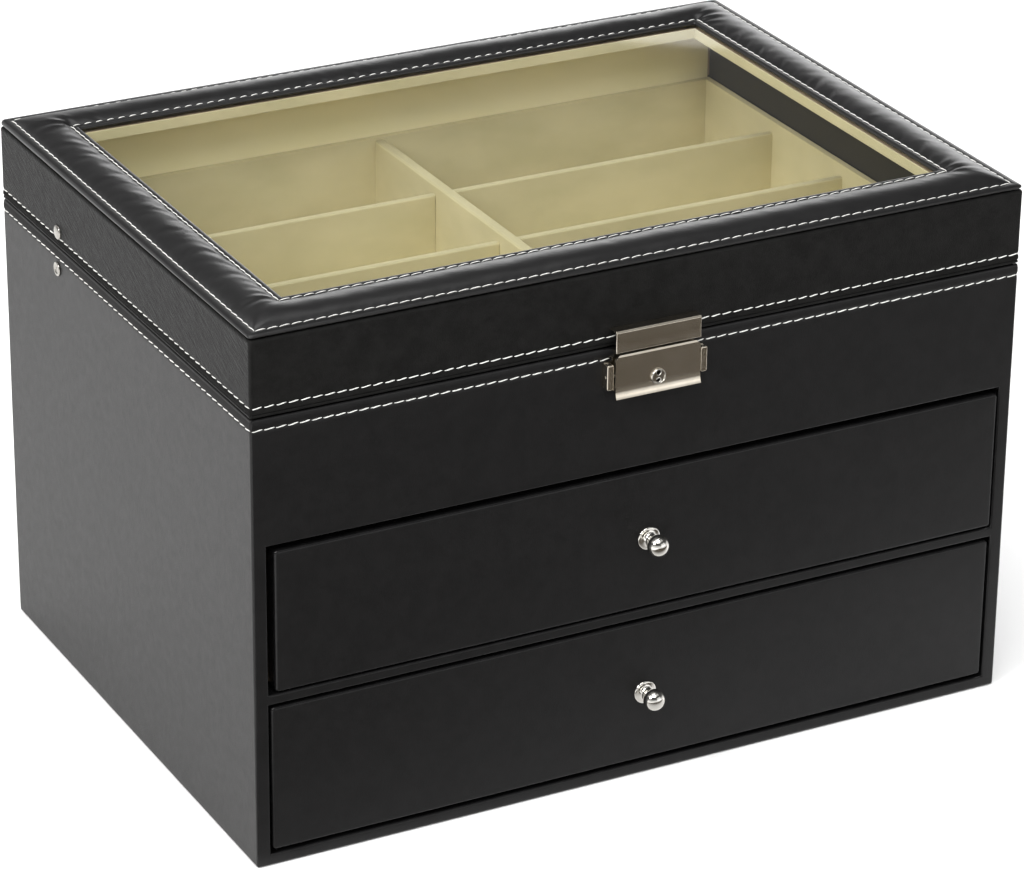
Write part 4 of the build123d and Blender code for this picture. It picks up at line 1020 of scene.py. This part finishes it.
def pressed(node, mat, front, width, bow, mid, half, rest=0.2, lip=None, soft=None):
    """Sheet metal: the outline of its face well rounded, the face itself slightly bowed."""
    bm = bmesh.new()
    bm.from_mesh(NODES[node].data)
    bmesh.ops.remove_doubles(bm, verts=bm.verts, dist=3e-6)
    bmesh.ops.dissolve_limit(bm, angle_limit=math.radians(0.5), verts=bm.verts, edges=bm.edges)
    bmesh.ops.recalc_face_normals(bm, faces=bm.faces)
    heights = [mid - half + 2 * half * k / 12 for k in range(1, 12)]
    if lip:
        heights += [lip[1] + (lip[0] - lip[1]) * k / 26 for k in range(1, 27)]
    for z in heights:
        bmesh.ops.bisect_plane(bm, geom=bm.verts[:] + bm.edges[:] + bm.faces[:], plane_co=(0, 0, z * MM),
                               plane_no=(0, 0, 1), dist=1e-7)
    for v in bm.verts:
        if v.co.y < (front + 0.2) * MM:
            t = (v.co.z / MM - mid) / half
            if abs(t) < 1:
                v.co.y -= bow * (1 - t * t) * MM
    if lip:
        z0, z1, deep = lip
        old = lambda z: min(max((LIP_FOLD - z) / (LIP_FOLD - z1), 0), 1) * deep
        new = lambda z: (min(max((z0 - z) / (z0 - z1), 0), 1)) ** 4 * deep
        for v in bm.verts:
            z = v.co.z / MM
            if z < z0:
                v.co.y += (old(z) - new(z)) * MM
    if soft:
        bm.normal_update()
        turn = [e for e in bm.edges if len(e.link_faces) == 2 and e.calc_face_angle(0) > math.radians(24)
                and abs((e.verts[0].co - e.verts[1].co).normalized().y) > 0.9 and min(v.co.z for v in e.verts) > soft * MM]
        bmesh.ops.bevel(bm, geom=turn, offset=0.55 * MM, offset_type="OFFSET", segments=4, profile=0.5,
                        affect="EDGES", clamp_overlap=True)
    layer = bm.edges.layers.float.get("bevel_weight_edge") or bm.edges.layers.float.new("bevel_weight_edge")
    bm.normal_update()
    for e in bm.edges:
        if len(e.link_faces) == 2 and e.calc_face_angle(0) > math.radians(24):
            face = min(v.co.y for v in e.verts) < front * MM and max(v.co.y for v in e.verts) < front * MM
            high = face and all(v.co.z > (mid + 0.55 * half) * MM for v in e.verts)
            e[layer] = 0.35 if high else 1.0 if face else rest
    me = bpy.data.meshes.new(node + "_pressed")
    bm.to_mesh(me)
    bm.free()
    me.shade_smooth()
    me.materials.clear()
    me.materials.append(mat)
    ob = link(bpy.data.objects.new(node + "_pressed", me))
    m = ob.modifiers.new("edges", "BEVEL")
    m.width, m.segments, m.limit_method = width * MM, 4, "WEIGHT"
    m.use_clamp_overlap = True
    m.harden_normals = True
    w = ob.modifiers.new("normals", "WEIGHTED_NORMAL")
    w.keep_sharp = True
    return done(ob, body_of(node), [node])


pressed("lock_flap", NICKEL, -125.9, 0.45, -0.15, 179.6, 6.9, lip=(176.0, 169.3, 0.95), soft=183.0)
pressed("lock_catch_plate", NICKEL, -125.9, 0.36, -0.14, 192.4, 3.9)
pressed("lock_base_plate", NICKEL, -125.3, 0.40, 0.0, 178.25, 5.0, rest=0.5)


def key_cylinder():
    """Raised rim, sunk ring, domed middle with the two round openings of the key slot."""
    nr, na, top = 60, 144, -127.02
    radii = np.concatenate([np.linspace(0, 2.60, 46), np.linspace(2.64, 3.15, nr - 46)])
    verts, faces = [], []
    for i, r in enumerate(radii):
        for k in range(1 if i == 0 else na):
            t = 2 * math.pi * k / na
            x, z = r * math.cos(t), r * math.sin(t)
            if r > 2.62:
                q = (r - 2.65) / 0.50
                y = top + 0.42 * (1 - min(q / 0.3, 1)) ** 2 + 0.34 * max((q - 0.55) / 0.45, 0) ** 2.2
            else:
                y = top + 0.20 + 0.10 * (r / 2.3) ** 2 + (0.30 if r > 2.46 else 0.0) * min((r - 2.46) / 0.10, 1)
                hole = min(math.hypot(x, z - 1.58), math.hypot(x, z + 1.58))
                y += 1.25 * (1 - min(max((hole - 0.80) / 0.14, 0), 1) ** 1.5)
                y -= 0.08 * math.exp(-((hole - 1.02) / 0.12) ** 2)
            verts.append((LX + x, y, 175.4 + z))
    start = lambda i: 0 if i == 0 else 1 + (i - 1) * na
    for i in range(nr - 1):
        for k in range(na):
            j = (k + 1) % na
            if i == 0:
                faces.append((0, start(1) + k, start(1) + j))
            else:
                faces.append((start(i) + k, start(i + 1) + k, start(i + 1) + j, start(i) + j))
    for d in (-126.2, -124.1, -123.9):
        base = len(verts)
        rr = 3.15 if d < -124 else 3.0
        for k in range(na):
            t = 2 * math.pi * k / na
            verts.append((LX + rr * math.cos(t), d, 175.4 + rr * math.sin(t)))
        prev = start(nr - 1) if d == -126.2 else base - na
        faces += [(prev + k, base + k, base + (k + 1) % na, prev + (k + 1) % na) for k in range(na)]
    base = len(verts) - na
    faces.append(tuple(base + k for k in range(na)))
    ob = mesh_object("key_cylinder_turned", verts, faces, BRIGHT)
    ob.data.materials.append(KEYHOLE_PAINTED_SHADE)
    # painted shade: the faces deep in the two openings of the key slot get the near-black material
    deep = np.array([v[1] > top + 0.42 and math.hypot(v[0] - LX, v[2] - 175.4) < 2.5 for v in verts])
    for poly in ob.data.polygons:
        if all(deep[i] for i in poly.vertices) and len(poly.vertices) < 5:
            poly.material_index = 1
    bm = bmesh.new()
    bm.from_mesh(ob.data)
    bmesh.ops.recalc_face_normals(bm, faces=bm.faces)
    bm.to_mesh(ob.data)
    bm.free()
    return done(ob, "lock_key", ["key_cylinder"])


key_cylinder()
refine("lock_screws", STEEL, bevel=0.1, seg=2)
for n in ("stay_lower_arm", "stay_upper_arm"):
    refine(n, STEEL, bevel=0.18, seg=2, angle=35)


def side_rivet(name, node, body, y, z, head, inner):
    """Turned rivet through the left wall: head outside, shaft, and a set head inside."""
    prof = list(reversed([(r, -d) for r, d in inner])) + head
    ob = lathe(name, prof, (-HX, y, z), (-1, 0, 0), RIVET, n=56, sharp=45)
    return done(ob, body, [node])


side_rivet("stay_case_rivet_turned", "stay_case_rivet", "case", 63.5, 179.6,
           [(1.48, -0.05), (2.75, -0.02), (2.96, 0.12), (3.0, 0.35), (2.9, 0.58), (2.6, 0.72), (2.25, 0.70), (1.95, 0.55),
            (1.7, 0.30), (1.35, 0.18), (1.0, 0.2), (0.6, 0.28), (0.0, 0.31)],
           [(1.48, 0.1), (1.48, 8.65), (1.48, 9.75), (2.55, 9.8), (2.6, 9.95), (2.52, 10.2), (1.9, 10.26), (0.0, 10.3)])
side_rivet("stay_lid_rivet_turned", "stay_lid_rivet", "lid", 62.0, 195.9,
           [(1.48, -0.05), (2.8, -0.02), (3.0, 0.12), (3.0, 0.26), (2.85, 0.5), (2.5, 0.75), (1.95, 0.95), (1.3, 1.06),
            (0.6, 1.08), (0.0, 1.08)],
           [(1.48, 0.1), (1.48, 5.3), (2.35, 5.45), (2.35, 9.95), (1.48, 10.0), (1.48, 11.15), (2.55, 11.2), (2.6, 11.4),
            (2.5, 11.75), (1.7, 11.86), (0.0, 11.9)])

# ------------------------------------------------------------------ studio
floor_g = Graph("studio_floor")
paper = floor_g.noise(60.0, 3.0, 0.5)
fp = floor_g.n("ShaderNodeBsdfPrincipled", None,
               {"Base Color": floor_g.mix(paper, rgb(0.93, 0.93, 0.93), rgb(0.95, 0.95, 0.95)), "Roughness": 0.9})
fp.inputs["Specular IOR Level"].default_value = 0.0
FLOOR = floor_g.surface(fp)
me = bpy.data.meshes.new("studio_floor")
me.from_pydata([(-12, -12, 0), (12, -12, 0), (12, 12, 0), (-12, 12, 0)], [], [(0, 1, 2, 3)])
me.materials.append(FLOOR)
floor = link(bpy.data.objects.new("studio_floor", me))

# dark card lying in front of the box, out of the picture: only shiny surfaces see it
flag_g = Graph("dark_card")
geo = flag_g.n("ShaderNodeSeparateXYZ", None, {0: flag_g.co})
ahead = flag_g.math("MULTIPLY_ADD", geo.outputs["Y"], -1.0)
ahead.node.inputs[2].default_value = -0.1215
lean = flag_g.math("MULTIPLY_ADD", geo.outputs["X"], -0.32)
flag_g.tree.links.new(ahead, lean.node.inputs[2])
cover = flag_g.math("ADD", flag_g.span(lean, -0.06, 0.16, 0.0, 0.945), flag_g.span(lean, 0.18, 0.46, 0.0, 0.055))
cover = flag_g.math("MULTIPLY", cover, flag_g.span(geo.outputs["X"], -0.31, -0.15, 0.0, 1.0))
cover = flag_g.math("MULTIPLY", cover, flag_g.span(geo.outputs["Y"], -1.28, -0.85, 0.0, 1.0))
see = flag_g.n("ShaderNodeBsdfTransparent")
card = flag_g.n("ShaderNodeBsdfDiffuse", None, {"Color": rgb(0.030, 0.022, 0.012)})
fm = flag_g.n("ShaderNodeMixShader", None, {0: cover, 1: see.outputs[0], 2: card.outputs[0]})
FLAG = flag_g.surface(fm, "Shader")
me = bpy.data.meshes.new("dark_card")
me.from_pydata([(-0.9, -1.3, 0.0015), (1.5, -1.3, 0.0015), (1.5, -0.125, 0.0015), (-0.9, -0.125, 0.0015)], [], [(0, 1, 2, 3)])
me.materials.append(FLAG)
flag = link(bpy.data.objects.new("dark_card", me))
flag.visible_camera = flag.visible_diffuse = flag.visible_transmission = flag.visible_shadow = False


def softbox(name, at, aim, w, h, power, tone=(1, 1, 1)):
    li = bpy.data.lights.new(name, "AREA")
    li.shape, li.size, li.size_y = "RECTANGLE", w, h
    li.energy, li.color = power, tone
    ob = link(bpy.data.objects.new(name, li))
    ob.location = at
    ob.rotation_mode = "QUATERNION"
    ob.rotation_quaternion = (Vector(aim) - Vector(at)).to_track_quat("-Z", "Y")
    ob.visible_camera = False
    return ob


softbox("top_softbox", (-0.25, 0.25, 1.9), (0, 0, 0.1), 1.5, 1.5, 15.0)
softbox("left_softbox", (-1.6, -0.6, 1.55), (0, 0, 0.1), 0.8, 0.9, 24.0, (1.0, 0.985, 0.97))
softbox("front_top_softbox", (-0.35, -1.05, 1.75), (0, 0, 0.15), 1.0, 0.8, 13.0)
softbox("front_high_card", (0.62, -0.9, 1.75), (0, 0, 0.15), 1.0, 0.8, 1.2)
softbox("back_right_softbox", (0.96, 1.28, 0.395), (0, 0, 0.24), 1.1, 0.70, 3.7)
softbox("back_left_softbox", (-0.76, 1.44, 1.0), (0, 0, 0.22), 0.7, 0.5, 1.1)
softbox("front_right_card", (0.85, -1.65, 0.62), (0, -0.1, 0.18), 1.3, 0.9, 2.9)

world = bpy.data.worlds.new("studio")
SC.world = world
world.use_nodes = True
wt = world.node_tree
wt.nodes.clear()
wout = wt.nodes.new("ShaderNodeOutputWorld")
bg = wt.nodes.new("ShaderNodeBackground")
lp = wt.nodes.new("ShaderNodeLightPath")
m1 = wt.nodes.new("ShaderNodeMix")
m1.data_type = "FLOAT"
# shiny surfaces see a backdrop that is bright at the horizon and dark higher up
tc = wt.nodes.new("ShaderNodeTexCoord")
sep = wt.nodes.new("ShaderNodeSeparateXYZ")
ramp = wt.nodes.new("ShaderNodeMapRange")
ramp.interpolation_type = "SMOOTHSTEP"
ramp.inputs["From Min"].default_value = 0.10
ramp.inputs["From Max"].default_value = 0.40
ramp.inputs["To Min"].default_value = 0.95
ramp.inputs["To Max"].default_value = 0.085
wt.links.new(tc.outputs["Generated"], sep.inputs[0])
wt.links.new(sep.outputs["Z"], ramp.inputs["Value"])
wt.links.new(ramp.outputs["Result"], m1.inputs[3])
# fill seen by diffuse surfaces: a little more from the left than from the right
fill = wt.nodes.new("ShaderNodeMapRange")
fill.inputs["From Min"].default_value, fill.inputs["From Max"].default_value = -1.0, 1.0
fill.inputs["To Min"].default_value, fill.inputs["To Max"].default_value = 1.05, 0.65
wt.links.new(sep.outputs["X"], fill.inputs["Value"])
wt.links.new(fill.outputs["Result"], m1.inputs[2])
wt.links.new(lp.outputs["Is Glossy Ray"], m1.inputs[0])
m2 = wt.nodes.new("ShaderNodeMix")
m2.data_type = "FLOAT"
m2.inputs[3].default_value = 1.0      # plain white backdrop
wt.links.new(lp.outputs["Is Camera Ray"], m2.inputs[0])
wt.links.new(m1.outputs[0], m2.inputs[2])
wt.links.new(m2.outputs[0], bg.inputs["Strength"])
bg.inputs["Color"].default_value = (1, 1, 1, 1)
wt.links.new(bg.outputs[0], wout.inputs[0])

# camera at the photograph's place
cam = bpy.data.cameras.new("photo_camera")
cam.sensor_width, cam.lens = 36.0, 156.24
cam.clip_start, cam.clip_end = 0.05, 50.0
cam_ob = link(bpy.data.objects.new("photo_camera", cam))
rv = Vector((1.96361732, -0.47592405, 0.31638435))
to_cam = Matrix.Rotation(rv.length, 3, rv.normalized())
shift = Vector((-0.2907748, 0.4959391, 5.080845)) * 0.335
centre = -(to_cam.transposed() @ shift) + Vector((-0.1675, -0.1215, 0.0))
rot = to_cam.transposed() @ Matrix(((1, 0, 0), (0, -1, 0), (0, 0, -1)))
cam_ob.matrix_world = Matrix.Translation(centre) @ rot.to_4x4()
SC.camera = cam_ob

SC.view_settings.view_transform = "Standard"
SC.view_settings.look = "None"
SC.view_settings.exposure = 0.0
SC.view_settings.gamma = 1.0
